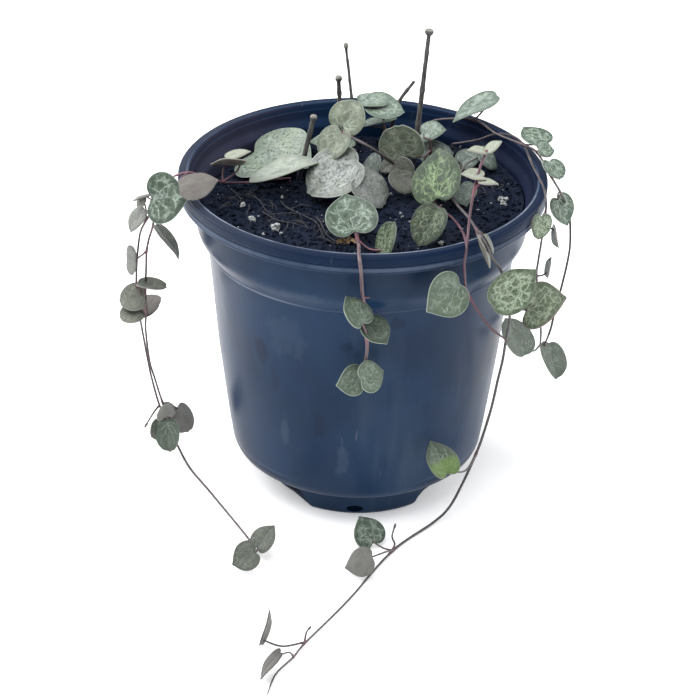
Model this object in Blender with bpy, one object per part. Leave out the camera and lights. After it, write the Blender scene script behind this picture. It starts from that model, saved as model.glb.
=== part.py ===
# String of hearts (Ceropegia woodii) in a round plastic nursery pot.
# The pot stands on z = 0 with its axis on Z. The trailing shoots face -Y, the side the plant is seen from.
# Lengths in the tables are millimetres, angles are degrees.
import math
import random

import bpy
from mathutils import Vector

MM = 0.001

# pot
RIM_RADIUS = 65.0
POT_HEIGHT = 120.4
LIP_WIDTH = 4.1
POT_SIDES = 48
FOOT_COUNT = 3
FOOT_NOTCH_ANGLE = 30.0
FOOT_NOTCH_HEIGHT = 8.5
FOOT_NOTCH_INNER = 31.0
DRAIN_ARCH_WIDTH = 6.5
DRAIN_ARCH_HEIGHT = 2.5

# soil
SOIL_LEVEL = 109.3
SOIL_SLOPE_X = 0.05
SOIL_SLOPE_Y = -0.02
SOIL_MOUND = 1.2
SOIL_ROUGHNESS = 0.45
SOIL_RADIUS = 56.9
SOIL_SIDES = 40
SOIL_SEED = 7

# plant
ROOT_DEPTH = 9.0
STEM_RISE = 1.8
HOLE_CLEARANCE = 0.42
STEM_SIDES = 6
STEM_STEP = 11.0
PETIOLE_RADIUS = 0.5
PETIOLE_TAPER = 0.76
PETIOLE_SIDES = 4
BLADE_THICKNESS = 1.0
BLADE_FOLD = 0.13
BLADE_DROOP = 0.16
PETIOLE_SINK = 2.4

# The pot wall from the axis out along the underside, up the outside, over the lip and down the inside.
POT_PROFILE = [
    (0.0, 0.0), (35.4, 0.0), (36.3, 1.2), (36.8, 5.0), (37.6, 9.6), (39.4, 11.3), (42.4, 12.0),
    (44.4, 13.0), (46.1, 16.5), (47.6, 25.0), (51.3, 55.0), (54.6, 94.0), (55.2, 94.3), (55.6, 95.6),
    (58.7, 101.0), (58.9, 112.1), (61.2, 115.0), (62.0, 118.8), (63.5, 118.8), (63.7, 113.9),
    (RIM_RADIUS, 113.9), (RIM_RADIUS, POT_HEIGHT - 0.7), (RIM_RADIUS - 0.6, POT_HEIGHT),
    (RIM_RADIUS - LIP_WIDTH + 0.6, POT_HEIGHT), (RIM_RADIUS - LIP_WIDTH, POT_HEIGHT - 0.6), (59.8, 114.9),
    (57.4, 112.3), (57.3, 101.5), (54.1, 95.8), (53.1, 93.6), (49.9, 55.0), (46.2, 25.2), (44.8, 17.3),
    (42.0, 13.9), (36.2, 10.6), (35.4, 4.0), (33.9, 1.6), (0.0, 1.6),
]

# The soil side from its underside up to the surface edge, a little inside the pot wall.
SOIL_PROFILE = [
    (33.4, 2.0), (34.9, 4.2), (35.7, 10.9), (41.6, 14.3), (44.3, 17.6), (45.7, 25.4), (52.7, 94.0),
    (53.7, 96.2), (56.9, 101.8),
]

# Every vine: stem radius, strands as points along the stem, side shoots as (strand, point, target),
# leaves as (x, y, z, length, azimuth, elevation, clock, width ratio, strand, point).
# Azimuth and elevation say where the upper face looks (azimuth 0 is -Y), clock turns the tip in that face.
VINES = {
    "vine_left": {
        "radius": 0.8, "colour": "stem_brown",
        "strands": [
            [(-26, 13.5, 109), (-32.5, 10.5, 111.5), (-39.5, 7, 112), (-49.5, 2.5, 114), (-55, -5, 119.3),
             (-61, -9, 123), (-67.9, -9, 119.6), (-72.5, -8, 109.5), (-76, -7, 103), (-78, -6, 98.5),
             (-79, -5, 93.5), (-80, -4, 84.5), (-80.5, -3, 75), (-80, -2, 64), (-78.5, -1, 51),
             (-77, -1, 40.5), (-76, 0, 33.5), (-73.5, 0, 22.5), (-70, 1, 12), (-67, 3, 4), (-64, -4, 1.3),
             (-53, -25, 1.2), (-37.5, -54.5, 1.2), (-34.5, -63.5, 2)],
            [(-72.5, -8, 109.5), (-73.5, -9, 102), (-75, -8, 96.5), (-76, -8, 91.5), (-76.5, -7, 83),
             (-77, -6, 74.5), (-77, -5, 65.5), (-77.5, -4, 57), (-76.5, -3, 43.5), (-75, -3, 37),
             (-72, -2, 24.5), (-69.5, -1, 17.5)],
        ],
        "side_shoots": [
            (0, 17, [(-75.5, -3, 21), (-78.5, -7, 17)]),
        ],
        "leaves": [
            (-29, 6, 118.5, 27, 50, 110, -50, 0.8, 0, 2),
            (-47, 3, 123, 13.5, 0, 130, 180, 1, 0, 3),
            (-44.5, 8, 122.5, 10, 70, 110, -65, 1.05, 0, 3),
            (-55.5, -27, 126, 14, 100, -65, -155, 1.05, 0, 5),
            (-67, -25, 121, 16, -40, 25, 15, 1.05, 0, 7),
            (-77.5, -8, 112.5, 6.5, 40, 115, 145, 1.05, 0, 7),
            (-77.5, -8, 110, 5.5, -65, 35, -75, 1.05, 0, 8),
            (-80, -8, 102.5, 8.5, -70, 40, -80, 1.05, 0, 8),
            (-68, -10, 96.5, 16.5, -80, 140, 60, 1.05, 1, 1),
            (-82, -6, 86.5, 10, -75, 10, -155, 1.05, 1, 3),
            (-73.5, -9, 78.5, 10.5, -25, 100, 20, 1.05, 1, 5),
            (-82, -6, 70.5, 11, -15, 70, -160, 1.05, 0, 12),
            (-82.5, -10, 66.5, 9, -15, 70, -150, 1.05, 0, 13),
            (-77, 1, 63.5, 11, -65, -110, -55, 1.05, 1, 6),
            (-71, -4, 21.5, 9, 35, 165, 160, 1.05, 1, 10),
            (-65.5, 4, 14, 12.5, 55, -140, 100, 1.05, 1, 10),
            (-69.5, -9, 14.5, 13, -50, 20, -65, 1.05, 1, 11),
            (-75, -2, 12, 7, 50, 15, -155, 1.05, 1, 11),
            (-31.5, -62.5, 6.5, 11, -55, 45, 90, 1.05, 0, 23),
            (-38, -73.5, 5.5, 10.5, -30, 45, -140, 1.05, 0, 23),
        ],
    },
    "crown_left": {
        "radius": 0.8, "colour": "stem_pale",
        "strands": [[(-41, 33.5, 107.5), (-41, 33, 110)]],
        "leaves": [(-31.5, 27, 112.6, 25.5, -65, 70, 30, 1.05, 0, 1)],
    },
    "vine_front": {
        "radius": 0.8, "colour": "stem_pink",
        "strands": [
            [(-1.5, -22, 110.7), (-1.5, -39.5, 114), (-1, -55, 120), (-1, -63, 122), (-0.5, -70.5, 121.5),
             (0, -67.5, 116), (0.5, -63, 107), (1.5, -61, 99), (2.5, -58, 86.5), (2.5, -57, 79), (1, -57, 70.5)],
        ],
        "leaves": [
            (-3, -32, 120, 17.5, 5, 55, 100, 1.05, 0, 1),
            (7.5, -46.5, 119, 13.5, -70, 35, 45, 1.05, 0, 1),
            (-1.5, -66, 101.5, 12, 55, 45, 85, 1.05, 0, 8),
            (6, -61.5, 91, 11, 35, 55, -65, 1.05, 0, 8),
            (-3, -60, 70.5, 12, 40, 20, -175, 1.05, 0, 10),
            (4.5, -60, 73, 12, 45, 30, -10, 1.05, 0, 10),
        ],
    },
    "vine_red": {
        "radius": 0.75, "colour": "stem_pink",
        "strands": [
            [(25, -6, 111), (27, -15, 114), (30.5, -30, 118.5), (33.5, -48, 122.3), (34.5, -60, 122.6),
             (34, -59.5, 117), (34.5, -57, 110.5), (35, -53.5, 105), (36, -51.5, 101), (40, -51.5, 94),
             (44.5, -50, 87), (48, -48, 83), (50.5, -47, 80.5)],
            [(34.5, -60, 122.6), (35.5, -50, 129), (37, -42, 135), (39, -36, 141), (41, -32, 144.5)],
        ],
        "leaves": [
            (36.5, -39, 139, 8.5, 95, 80, 90, 1.05, 1, 2),
            (41.5, -42, 138, 7, -10, 100, 10, 1.05, 1, 2),
            (38, -31, 144.5, 7, -55, 100, -125, 1.05, 1, 4),
            (43.5, -31, 146, 6.5, -80, 55, 100, 1.05, 1, 4),
            (30, -62, 102.5, 16.5, 25, 15, -150, 1.05, 0, 8),
            (22, -36.5, 119, 15.5, -55, 45, -70, 1.05, 0, 1),
        ],
    },
    "vine_trailing": {
        "radius": 0.85, "colour": "stem_brown",
        "strands": [
            [(30.5, 3, 111.5), (31.5, -9, 115), (36, -35, 121), (38, -49.5, 124), (40.5, -59, 124),
             (43, -56.5, 117.5), (46.5, -54, 111.5), (49.5, -47.5, 100.5), (50.5, -44, 92.5),
             (51.5, -41.5, 85.5), (51, -37, 75), (50.5, -33.5, 64.5), (49.5, -30, 54.5), (48, -28, 42),
             (45.5, -29, 31), (42, -30.5, 19.5), (38.5, -34.5, 13), (34, -38.5, 5.5), (28.5, -42, 1.7),
             (13.5, -60, 1.2), (-2, -90.5, 1.2), (-16, -115, 1.2), (-19.5, -122.5, 1.2),
             (-25, -132, 1.2), (-27.5, -143.5, 1.2)],
        ],
        "side_shoots": [
            (0, 19, [(16, -55.5, 3), (16, -51, 6.5)]),
            (0, 21, [(-15.5, -112.5, 3.5), (-14, -110.5, 4.5)]),
        ],
        "leaves": [
            (52, -55.5, 105, 19, 20, 5, 50, 1.05, 0, 8),
            (64, -41.5, 92, 18, -50, 45, 45, 1.05, 0, 8),
            (40.5, -61, 121.5, 12, 95, 25, -120, 1.05, 0, 3),
            (42.5, -55, 121.5, 7, 90, 30, -115, 1.05, 0, 3),
            (35, -7.5, 116.2, 10.5, 0, 65, -75, 1.05, 0, 1),
            (29.5, -50, 34, 15, 55, 45, 85, 1.05, 0, 15),
            (4.5, -56, 6.5, 12.5, 35, 40, 100, 1.05, 0, 19),
            (2, -74.5, 5.5, 11.5, -40, -130, 125, 1.05, 0, 19),
            (-28.5, -116, 7.5, 12.5, 75, -10, 55, 1.05, 0, 21),
            (-27, -133, 5.5, 12, -100, 40, -60, 1.05, 0, 22),
        ],
    },
    "vine_right_outer": {
        "radius": 0.8, "colour": "stem_brown",
        "strands": [
            [(24, 44, 110.3), (23.5, 46, 118), (28.5, 46, 120.5), (40.5, 43, 121.8), (48, 29, 123),
             (56.5, 17.5, 124.4), (61.5, 11, 124.4), (65.5, -1, 121.7), (70, 3, 113), (74.5, 14, 100.5),
             (75.5, 12, 93.5), (75.5, 10, 85), (73, 4, 74), (71, 0, 67.5), (69.5, -3, 60.5), (67.5, -5, 55)],
        ],
        "leaves": [
            (41.5, 43.5, 127, 19, 60, 110, 115, 1.05, 0, 3),
            (60.5, 17.5, 128, 12, 45, 75, 85, 1.05, 0, 5),
            (64.5, 9, 126.5, 7.5, 40, 60, -25, 1.05, 0, 6),
            (67.5, 1.5, 122.3, 9, 55, 55, -105, 1.05, 0, 7),
            (72.5, 10, 102.5, 11.5, 50, 30, -110, 1.05, 0, 8),
            (71, -6, 48, 15, 65, 35, -115, 1.05, 0, 15),
        ],
    },
    "vine_right_inner": {
        "radius": 0.75, "colour": "stem_brown",
        "strands": [
            [(33, 43, 110.3), (36, 40, 114), (42, 36.5, 117), (49, 32.7, 121.3), (56.5, 27, 121.5),
             (60, 4.5, 121.8), (62.5, -12, 122.2), (63, -22.5, 121.5), (63, -22, 117), (63, -16.5, 108),
             (63, -14, 101.5), (62.5, -12, 92.5), (62.5, -10, 86), (64, -9, 76), (65.5, -9, 63), (65.5, -9, 57)],
        ],
        "leaves": [
            (62.5, -28, 115.5, 10, 45, 10, -105, 1.05, 0, 8),
            (68, -12, 102.5, 9, -80, 0, -60, 1.05, 0, 9),
            (66.5, -10, 90, 8, -75, -170, -120, 1.05, 0, 12),
            (58.3, -17, 64.8, 17, 70, 55, 85, 1.05, 0, 15),
        ],
    },
    "crown_middle": {
        "radius": 0.8, "colour": "stem_brown",
        "strands": [[(12.5, 14, 110.5), (12.3, 13.5, 114), (11.5, 11.5, 118), (2.5, 4, 128), (-3, 6.5, 130), (-7.5, 11.5, 130)]],
        "leaves": [
            (-5, 21.5, 132, 14, -30, 35, 70, 1.05, 0, 5),
            (-10.5, 10, 126, 13.5, -50, 40, -90, 1.05, 0, 5),
            (14.5, 2.5, 121, 8.5, -25, 25, 0, 1.05, 0, 2),
            (13.5, -2.5, 118, 10, 40, 50, -110, 1.05, 0, 2),
            (8.5, 18, 113.8, 6, -35, 50, -120, 1.05, 0, 1),
        ],
    },
    "crown_white": {
        "radius": 0.8, "colour": "stem_pale",
        "strands": [[(-4.5, 11, 110), (-4, 13, 114), (-4.5, 17, 117), (-4, 19, 120)]],
        "leaves": [
            (-13, -4.5, 117.3, 19, -60, 55, -120, 1.05, 0, 1),
            (1, -6, 119.6, 21, 55, 50, -70, 1.05, 0, 1),
            (-11.5, 34, 115, 18, 90, 80, 90, 1.05, 0, 3),
            (3.5, 13, 117.3, 11, -65, 25, 110, 1.05, 0, 2),
        ],
    },
    "crown_back": {
        "radius": 0.8, "colour": "stem_pale",
        "strands": [[(8, 45, 110), (7.5, 43, 118), (7, 42, 124)]],
        "leaves": [
            (5.5, 42, 129, 15.5, 20, 105, -15, 1.05, 0, 2),
            (7.5, 41, 126, 15.5, 40, 100, -40, 1.05, 0, 2),
            (6, 44.5, 120, 13, 50, 110, -50, 1.05, 0, 1),
        ],
    },
    "crown_olive": {
        "radius": 0.8, "colour": "stem_brown",
        "strands": [[(24.5, 30, 110.5), (24.5, 29, 116), (24, 27, 121)]],
        "leaves": [
            (13, 15, 126, 16.5, -20, 0, 115, 1.05, 0, 1),
            (25, 34.5, 121, 10.5, -50, 65, 45, 1.05, 0, 2),
            (26.5, 31.5, 114.3, 11.5, -30, 65, 40, 1.05, 0, 1),
        ],
    },
    "crown_right": {
        "radius": 0.8, "colour": "stem_brown",
        "strands": [[(33.5, 13, 111), (33.5, 10, 117), (33, 1, 125)]],
        "leaves": [
            (26.5, -7, 121, 22.5, -75, 50, -80, 1.05, 0, 2),
            (38.5, 25, 115, 9.5, -35, 60, 55, 1.05, 0, 1),
            (45.5, 21.5, 116.1, 10, 65, 45, -65, 1.05, 0, 1),
        ],
    },
}

# Cut stalks: points from the soil up, radius at the foot and at the top, radius of the head (0 for none).
STALKS = {
    "cut_stalk_tall": ([(18, 24, 110), (19.5, 24, 129), (22, 24, 162.5)], 1.1, 0.75, 1.6),
    "cut_stalk_back_right": ([(9.5, 52.5, 109.5), (12.5, 52.5, 123.3), (18.3, 54, 132)], 0.8, 0.6, 0),
    "cut_stalk_back_mid": ([(-3, 46, 109.5), (-4.6, 46, 127.4), (-7, 46, 147.4)], 0.65, 0.5, 0.9),
    "cut_stalk_back_left": ([(-8.8, 46, 109.5), (-9, 46, 125), (-9.5, 46, 134.5)], 0.9, 0.75, 1.35),
    "cut_stalk_left": ([(-23.2, 15.5, 108.5), (-21, 15.5, 119), (-18.2, 15.5, 132.5)], 0.95, 0.85, 1.25),
}

COLOURS = {
    "pot_navy": ((0.020, 0.034, 0.066, 1.0), 0.38),
    "soil_black": ((0.012, 0.013, 0.020, 1.0), 0.95),
    "stem_brown": ((0.120, 0.150, 0.115, 1.0), 0.55),
    "stem_pale": ((0.260, 0.310, 0.240, 1.0), 0.55),
    "stem_pink": ((0.150, 0.200, 0.135, 1.0), 0.50),
    "stalk_grey": ((0.090, 0.080, 0.078, 1.0), 0.80),
}


def make_material(name):
    colour, roughness = COLOURS[name]
    material = bpy.data.materials.new(name)
    material.use_nodes = True
    shader = material.node_tree.nodes["Principled BSDF"]
    shader.inputs["Base Color"].default_value = colour
    shader.inputs["Roughness"].default_value = roughness
    shader.inputs["Metallic"].default_value = 0.0
    return material


def make_object(name, verts, faces, material, smooth=False):
    mesh = bpy.data.meshes.new(name)
    mesh.from_pydata([tuple(Vector(v) * MM) for v in verts], [], faces)
    mesh.validate()
    mesh.update()
    mesh.materials.append(material)
    for polygon in mesh.polygons:
        polygon.use_smooth = smooth
    thing = bpy.data.objects.new(name, mesh)
    bpy.context.scene.collection.objects.link(thing)
    return thing


def ring_faces(first, second, count):
    faces = []
    for i in range(count):
        j = (i + 1) % count
        faces.append((first + i, first + j, second + j, second + i))
    return faces


def combine(thing, cutters, operation, label):
    # one Boolean takes the whole group of cutters or parts, which are then removed
    group = bpy.data.collections.new(label)
    for cutter in cutters:
        group.objects.link(cutter)
        cutter.hide_render = True
        cutter.display_type = "WIRE"
    modifier = thing.modifiers.new(label, "BOOLEAN")
    modifier.operation = operation
    modifier.operand_type = "COLLECTION"
    modifier.collection = group
    modifier.solver = "EXACT"
    bpy.context.view_layer.update()
    bpy.ops.object.select_all(action="DESELECT")
    bpy.context.view_layer.objects.active = thing
    thing.select_set(True)
    bpy.ops.object.modifier_apply(modifier=modifier.name)
    for cutter in cutters:
        bpy.data.objects.remove(cutter)
    bpy.data.collections.remove(group)


def lathe_verts(profile, sides):
    verts = []
    for radius, height in profile:
        for i in range(sides):
            angle = math.tau * i / sides
            verts.append((radius * math.cos(angle), radius * math.sin(angle), height))
    return verts


def build_pot(material):
    profile = POT_PROFILE[1:-1]
    verts = lathe_verts(profile, POT_SIDES)
    faces = []
    for row in range(len(profile) - 1):
        faces += ring_faces(row * POT_SIDES, (row + 1) * POT_SIDES, POT_SIDES)
    under = len(verts)
    verts.append((0, 0, POT_PROFILE[0][1]))
    verts.append((0, 0, POT_PROFILE[-1][1]))
    last = (len(profile) - 1) * POT_SIDES
    for i in range(POT_SIDES):
        j = (i + 1) % POT_SIDES
        faces.append((under, j, i))
        faces.append((under + 1, last + i, last + j))
    pot = make_object("pot", verts, faces, material, True)

    cutters = []
    for foot in range(FOOT_COUNT):
        middle = -90.0 + 60.0 + foot * 360.0 / FOOT_COUNT
        low, high = -3.0, FOOT_NOTCH_HEIGHT
        edge = []
        for radius in (FOOT_NOTCH_INNER, 45.0):
            for side in (-0.5, 0.5):
                angle = math.radians(middle + side * FOOT_NOTCH_ANGLE)
                edge.append((radius * math.cos(angle), radius * math.sin(angle)))
        verts = [(x, y, z) for z in (low, high) for x, y in edge]
        faces = [(0, 1, 3, 2), (4, 6, 7, 5), (0, 2, 6, 4), (1, 5, 7, 3), (2, 3, 7, 6), (0, 4, 5, 1)]
        cutters.append(make_object("foot_notch_cut", verts, faces, material))

    # a small drain arch through the middle of the front foot
    arch = []
    steps = 6
    for i in range(steps + 1):
        angle = math.pi * i / steps
        arch.append((0.5 * DRAIN_ARCH_WIDTH * math.cos(angle), DRAIN_ARCH_HEIGHT * math.sin(angle)))
    arch = [(0.5 * DRAIN_ARCH_WIDTH, -3.0)] + arch + [(-0.5 * DRAIN_ARCH_WIDTH, -3.0)]
    count = len(arch)
    verts = [(x, y, z) for y in (-40.0, -FOOT_NOTCH_INNER) for x, z in arch]
    faces = [tuple(range(count)), tuple(range(2 * count - 1, count - 1, -1))]
    for i in range(count):
        j = (i + 1) % count
        faces.append((i, count + i, count + j, j))
    cutters.append(make_object("drain_arch_cut", verts, faces, material))
    combine(pot, cutters, "DIFFERENCE", "foot_cuts")
    return pot


def soil_height(x, y):
    radius = math.hypot(x, y)
    mound = SOIL_MOUND * (1.0 - (radius / SOIL_RADIUS) ** 2)
    return SOIL_LEVEL + SOIL_SLOPE_X * x + SOIL_SLOPE_Y * y + mound


def build_soil(material, holes):
    noise = random.Random(SOIL_SEED)
    verts = lathe_verts(SOIL_PROFILE, SOIL_SIDES)
    rings = len(SOIL_PROFILE)
    for radius in (SOIL_RADIUS, 46.0, 34.0, 22.0, 11.0):
        for i in range(SOIL_SIDES):
            angle = math.tau * i / SOIL_SIDES
            x, y = radius * math.cos(angle), radius * math.sin(angle)
            bump = noise.uniform(-SOIL_ROUGHNESS, SOIL_ROUGHNESS) * min(1.0, radius / 34.0)
            verts.append((x, y, soil_height(x, y) + bump))
        rings += 1
    faces = []
    for row in range(rings - 1):
        faces += ring_faces(row * SOIL_SIDES, (row + 1) * SOIL_SIDES, SOIL_SIDES)
    middle = len(verts)
    verts.append((0, 0, SOIL_PROFILE[0][1]))
    verts.append((0, 0, soil_height(0, 0)))
    last = (rings - 1) * SOIL_SIDES
    for i in range(SOIL_SIDES):
        j = (i + 1) % SOIL_SIDES
        faces.append((middle, j, i))
        faces.append((middle + 1, last + i, last + j))
    soil = make_object("soil", verts, faces, material)
    cutters = []
    for (x, y, z), radius in holes:
        centre = [(x, y, z - ROOT_DEPTH - HOLE_CLEARANCE), (x, y, z + 8.0)]
        verts, faces = tube(centre, [radius + HOLE_CLEARANCE] * 2, 8)
        cutters.append(make_object("stem_hole_cut", verts, faces, material))
    combine(soil, cutters, "DIFFERENCE", "stem_holes")
    return soil


def smooth_path(points, step):
    # a curve through every point, sampled about every step
    points = [Vector(p) for p in points]
    ends = [2 * points[0] - points[1]] + points + [2 * points[-1] - points[-2]]
    path = [points[0]]
    for i in range(len(points) - 1):
        a, b, c, d = ends[i:i + 4]
        pieces = max(1, round((c - b).length / step))
        for k in range(1, pieces + 1):
            t = k / pieces
            path.append(0.5 * (2 * b + (c - a) * t + (2 * a - 5 * b + 4 * c - d) * t * t
                               + (3 * b - a - 3 * c + d) * t * t * t))
    return path


def tube(path, radii, sides):
    path = [Vector(p) for p in path]
    verts, faces = [], []
    side = None
    for i, point in enumerate(path):
        ahead = path[min(i + 1, len(path) - 1)] - path[max(i - 1, 0)]
        ahead.normalize()
        if side is None:
            side = ahead.orthogonal()
        side = (side - ahead * side.dot(ahead)).normalized()
        other = ahead.cross(side)
        for k in range(sides):
            angle = math.tau * k / sides
            verts.append(point + radii[i] * (math.cos(angle) * side + math.sin(angle) * other))
    for i in range(len(path) - 1):
        faces += ring_faces(i * sides, (i + 1) * sides, sides)
    faces.append(tuple(range(sides - 1, -1, -1)))
    faces.append(tuple(range(len(verts) - sides, len(verts))))
    return verts, faces


def heart_radius(angle):
    # rounded lobes, a notch where the leaf stalk joins and a drawn-out tip at angle 0
    turn = abs(angle)
    tip = 0.22 * max(0.0, 1.0 - turn / 0.7) ** 1.4
    notch = 0.34 * math.exp(-((math.pi - turn) / 0.34) ** 2)
    lobe = 0.05 * math.exp(-((turn - 2.2) / 0.5) ** 2)
    return 1.0 + tip - notch + lobe


def heart_outline(half_angles):
    # unit heart: length 1 along x with the tip at +0.5, width 1 along y
    fine = [math.radians(2 * k) for k in range(-90, 91)]
    xs = [heart_radius(a) * math.cos(a) for a in fine]
    ys = [heart_radius(a) * math.sin(a) for a in fine]
    low, length, width = min(xs), max(xs) - min(xs), max(ys) - min(ys)
    angles = half_angles + [360 - a for a in reversed(half_angles[1:-1])]
    outline = []
    for degrees in angles:
        a = math.radians(degrees if degrees <= 180 else degrees - 360)
        r = heart_radius(a)
        outline.append(((r * math.cos(a) - low) / length - 0.5, r * math.sin(a) / width))
    return outline


def leaf_axes(azimuth, elevation, clock):
    azimuth, elevation, clock = (math.radians(a) for a in (azimuth, elevation, clock))
    up_face = Vector((math.sin(azimuth) * math.cos(elevation), -math.cos(azimuth) * math.cos(elevation),
                      math.sin(elevation)))
    level = Vector((math.cos(azimuth), math.sin(azimuth), 0.0))
    tip = level * math.cos(clock) + up_face.cross(level) * math.sin(clock)
    return tip, up_face.cross(tip), up_face


def blade_height(x, y):
    # the halves lift from the midrib and the tip droops
    return BLADE_FOLD * abs(y) - BLADE_DROOP * max(0.0, x) ** 2 - 0.2 * BLADE_FOLD


def build_leaf(leaf, material):
    x, y, z, length, azimuth, elevation, clock, ratio = leaf[:8]
    tip, side, up_face = leaf_axes(azimuth, elevation, clock)
    centre = Vector((x, y, z))
    if length > 9.5:
        outline = heart_outline([0, 26, 56, 90, 124, 150, 167, 180])
    else:
        outline = heart_outline([0, 36, 80, 122, 156, 180])
    count = len(outline)
    spine = [(0.22, 0.0), (-0.2, 0.0)]
    verts = []
    for lift in (0.5, -0.5):
        for u, v in outline + spine:
            height = blade_height(u, v) * length + lift * BLADE_THICKNESS
            verts.append(centre + length * u * tip + length * ratio * v * side + height * up_face)
    total = count + 2
    half = count // 2
    faces = []
    for base, flip in ((0, False), (total, True)):
        front, back = base + count, base + count + 1
        for i in range(count):
            j = (i + 1) % count
            near_tip = i < half // 2 or i >= count - half // 2
            hub = front if near_tip else back
            face = (hub, base + i, base + j)
            faces.append(face[::-1] if flip else face)
        for i, hubs in ((half // 2, (front, back)), (count - half // 2, (back, front))):
            face = (hubs[0], base + i, hubs[1])
            faces.append(face[::-1] if flip else face)
    for i in range(count):
        j = (i + 1) % count
        faces.append((i, total + i, total + j))
        faces.append((i, total + j, j))
    return make_object("leaf_part", verts, faces, material)


def build_petiole(node, leaf, material):
    x, y, z, length, azimuth, elevation, clock = leaf[:7]
    tip, side, up_face = leaf_axes(azimuth, elevation, clock)
    notch = heart_outline([0, 180])[1][0]
    foot = Vector((x, y, z)) + (notch * length + PETIOLE_SINK) * tip
    foot += blade_height(notch, 0) * length * up_face
    node = Vector(node)
    reach = foot - node
    middle = node + 0.5 * reach - 0.12 * reach.length * tip
    path = smooth_path([node, middle, foot], max(2.5, 0.34 * reach.length))
    last = len(path) - 1
    thickness = [PETIOLE_RADIUS * (1.0 - (1.0 - PETIOLE_TAPER) * i / last) for i in range(last + 1)]
    verts, faces = tube(path, thickness, PETIOLE_SIDES)
    return make_object("petiole_part", verts, faces, material)


def build_vine(name, vine, materials):
    material = materials[vine["colour"]]
    radius = vine["radius"]
    parts = []
    for index, strand in enumerate(vine["strands"]):
        path = smooth_path(strand, STEM_STEP)
        if index == 0:
            # the stem stands straight in its hole and bends just above the soil
            x, y, z = strand[0]
            path = smooth_path([(x, y, z + STEM_RISE)] + strand[1:], STEM_STEP)
            path = [Vector((x, y, z - ROOT_DEPTH)), Vector(strand[0])] + path
        thickness = [radius] * len(path)
        for k in range(1, 4):
            thickness[-k] = radius * (0.7 + 0.08 * k)
        verts, faces = tube(path, thickness, STEM_SIDES)
        parts.append(make_object(name if index == 0 else "strand_part", verts, faces, material))
    for strand, point, targets in vine.get("side_shoots", []):
        path = smooth_path([vine["strands"][strand][point]] + targets, 3.0)
        verts, faces = tube(path, [PETIOLE_RADIUS] * len(path), PETIOLE_SIDES)
        parts.append(make_object("side_shoot_part", verts, faces, material))
    for leaf in vine["leaves"]:
        node = vine["strands"][leaf[8]][leaf[9]]
        parts.append(build_leaf(leaf, material))
        parts.append(build_petiole(node, leaf, material))
    combine(parts[0], parts[1:], "UNION", name + "_join")
    return parts[0]


def build_stalk(name, stalk, material):
    points, foot, top, head = stalk
    path = smooth_path(points, 6.0)
    x, y, z = points[0]
    path = [Vector((x, y, z - ROOT_DEPTH))] + path
    count = len(path)
    thickness = [foot + (top - foot) * i / (count - 1) for i in range(count)]
    if head:
        end = path[-1]
        ahead = (end - path[-2]).normalized()
        path += [end + 0.7 * ahead, end + 1.9 * ahead, end + 2.5 * ahead]
        thickness += [head, head, 0.6 * head]
    verts, faces = tube(path, thickness, 8)
    return make_object(name, verts, faces, material, True)


def main():
    for thing in list(bpy.data.objects):
        bpy.data.objects.remove(thing)
    materials = {name: make_material(name) for name in COLOURS}
    build_pot(materials["pot_navy"])
    holes = [(vine["strands"][0][0], vine["radius"]) for vine in VINES.values()]
    holes += [(points[0], foot) for points, foot, top, head in STALKS.values()]
    build_soil(materials["soil_black"], holes)
    for name, vine in VINES.items():
        build_vine(name, vine, materials)
    for name, stalk in STALKS.items():
        build_stalk(name, stalk, materials["stalk_grey"])


main()
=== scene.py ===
import math
import random

import bpy
from mathutils import Matrix, Vector, noise


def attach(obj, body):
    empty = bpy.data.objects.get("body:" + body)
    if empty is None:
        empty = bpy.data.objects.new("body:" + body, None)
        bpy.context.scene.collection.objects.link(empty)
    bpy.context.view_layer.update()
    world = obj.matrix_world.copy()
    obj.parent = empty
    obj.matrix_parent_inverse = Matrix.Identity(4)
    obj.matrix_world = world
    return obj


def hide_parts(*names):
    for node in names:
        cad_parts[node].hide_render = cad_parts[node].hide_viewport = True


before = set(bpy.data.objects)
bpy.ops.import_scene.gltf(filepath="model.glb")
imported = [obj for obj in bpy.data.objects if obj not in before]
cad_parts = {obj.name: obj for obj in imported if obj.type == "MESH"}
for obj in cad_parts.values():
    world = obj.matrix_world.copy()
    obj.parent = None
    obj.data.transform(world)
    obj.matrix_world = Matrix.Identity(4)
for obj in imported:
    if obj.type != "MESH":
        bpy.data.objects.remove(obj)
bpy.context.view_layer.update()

mm = 0.001


# small helpers for modelling

def clearSelection():
    if bpy.context.object and bpy.context.object.mode != "OBJECT":
        bpy.ops.object.mode_set(mode="OBJECT")
    bpy.ops.object.select_all(action="DESELECT")


def pick(*things):
    clearSelection()
    for thing in things:
        thing.select_set(True)
    bpy.context.view_layer.objects.active = things[0]


def applyModifier(thing, name, kind, **settings):
    pick(thing)
    modifier = thing.modifiers.new(name, kind)
    for key, value in settings.items():
        setattr(modifier, key, value)
    bpy.ops.object.modifier_apply(modifier=name)


def joinPieces(name, things):
    pick(*things)
    if len(things) > 1:
        bpy.ops.object.join()
    joined = bpy.context.object
    joined.name = name
    joined.data.name = name
    return joined


def applyPlace(thing):
    pick(thing)
    bpy.ops.object.transform_apply(location=True, rotation=True, scale=True)


def closeMesh(thing, gap=0.002):
    # doubles merged and every face turned outwards
    pick(thing)
    bpy.ops.object.mode_set(mode="EDIT")
    bpy.ops.mesh.select_all(action="SELECT")
    bpy.ops.mesh.remove_doubles(threshold=gap * mm)
    bpy.ops.mesh.normals_make_consistent(inside=False)
    bpy.ops.object.mode_set(mode="OBJECT")


def smoothShading(thing, angle=40):
    pick(thing)
    bpy.ops.object.shade_smooth_by_angle(angle=math.radians(angle))


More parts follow.
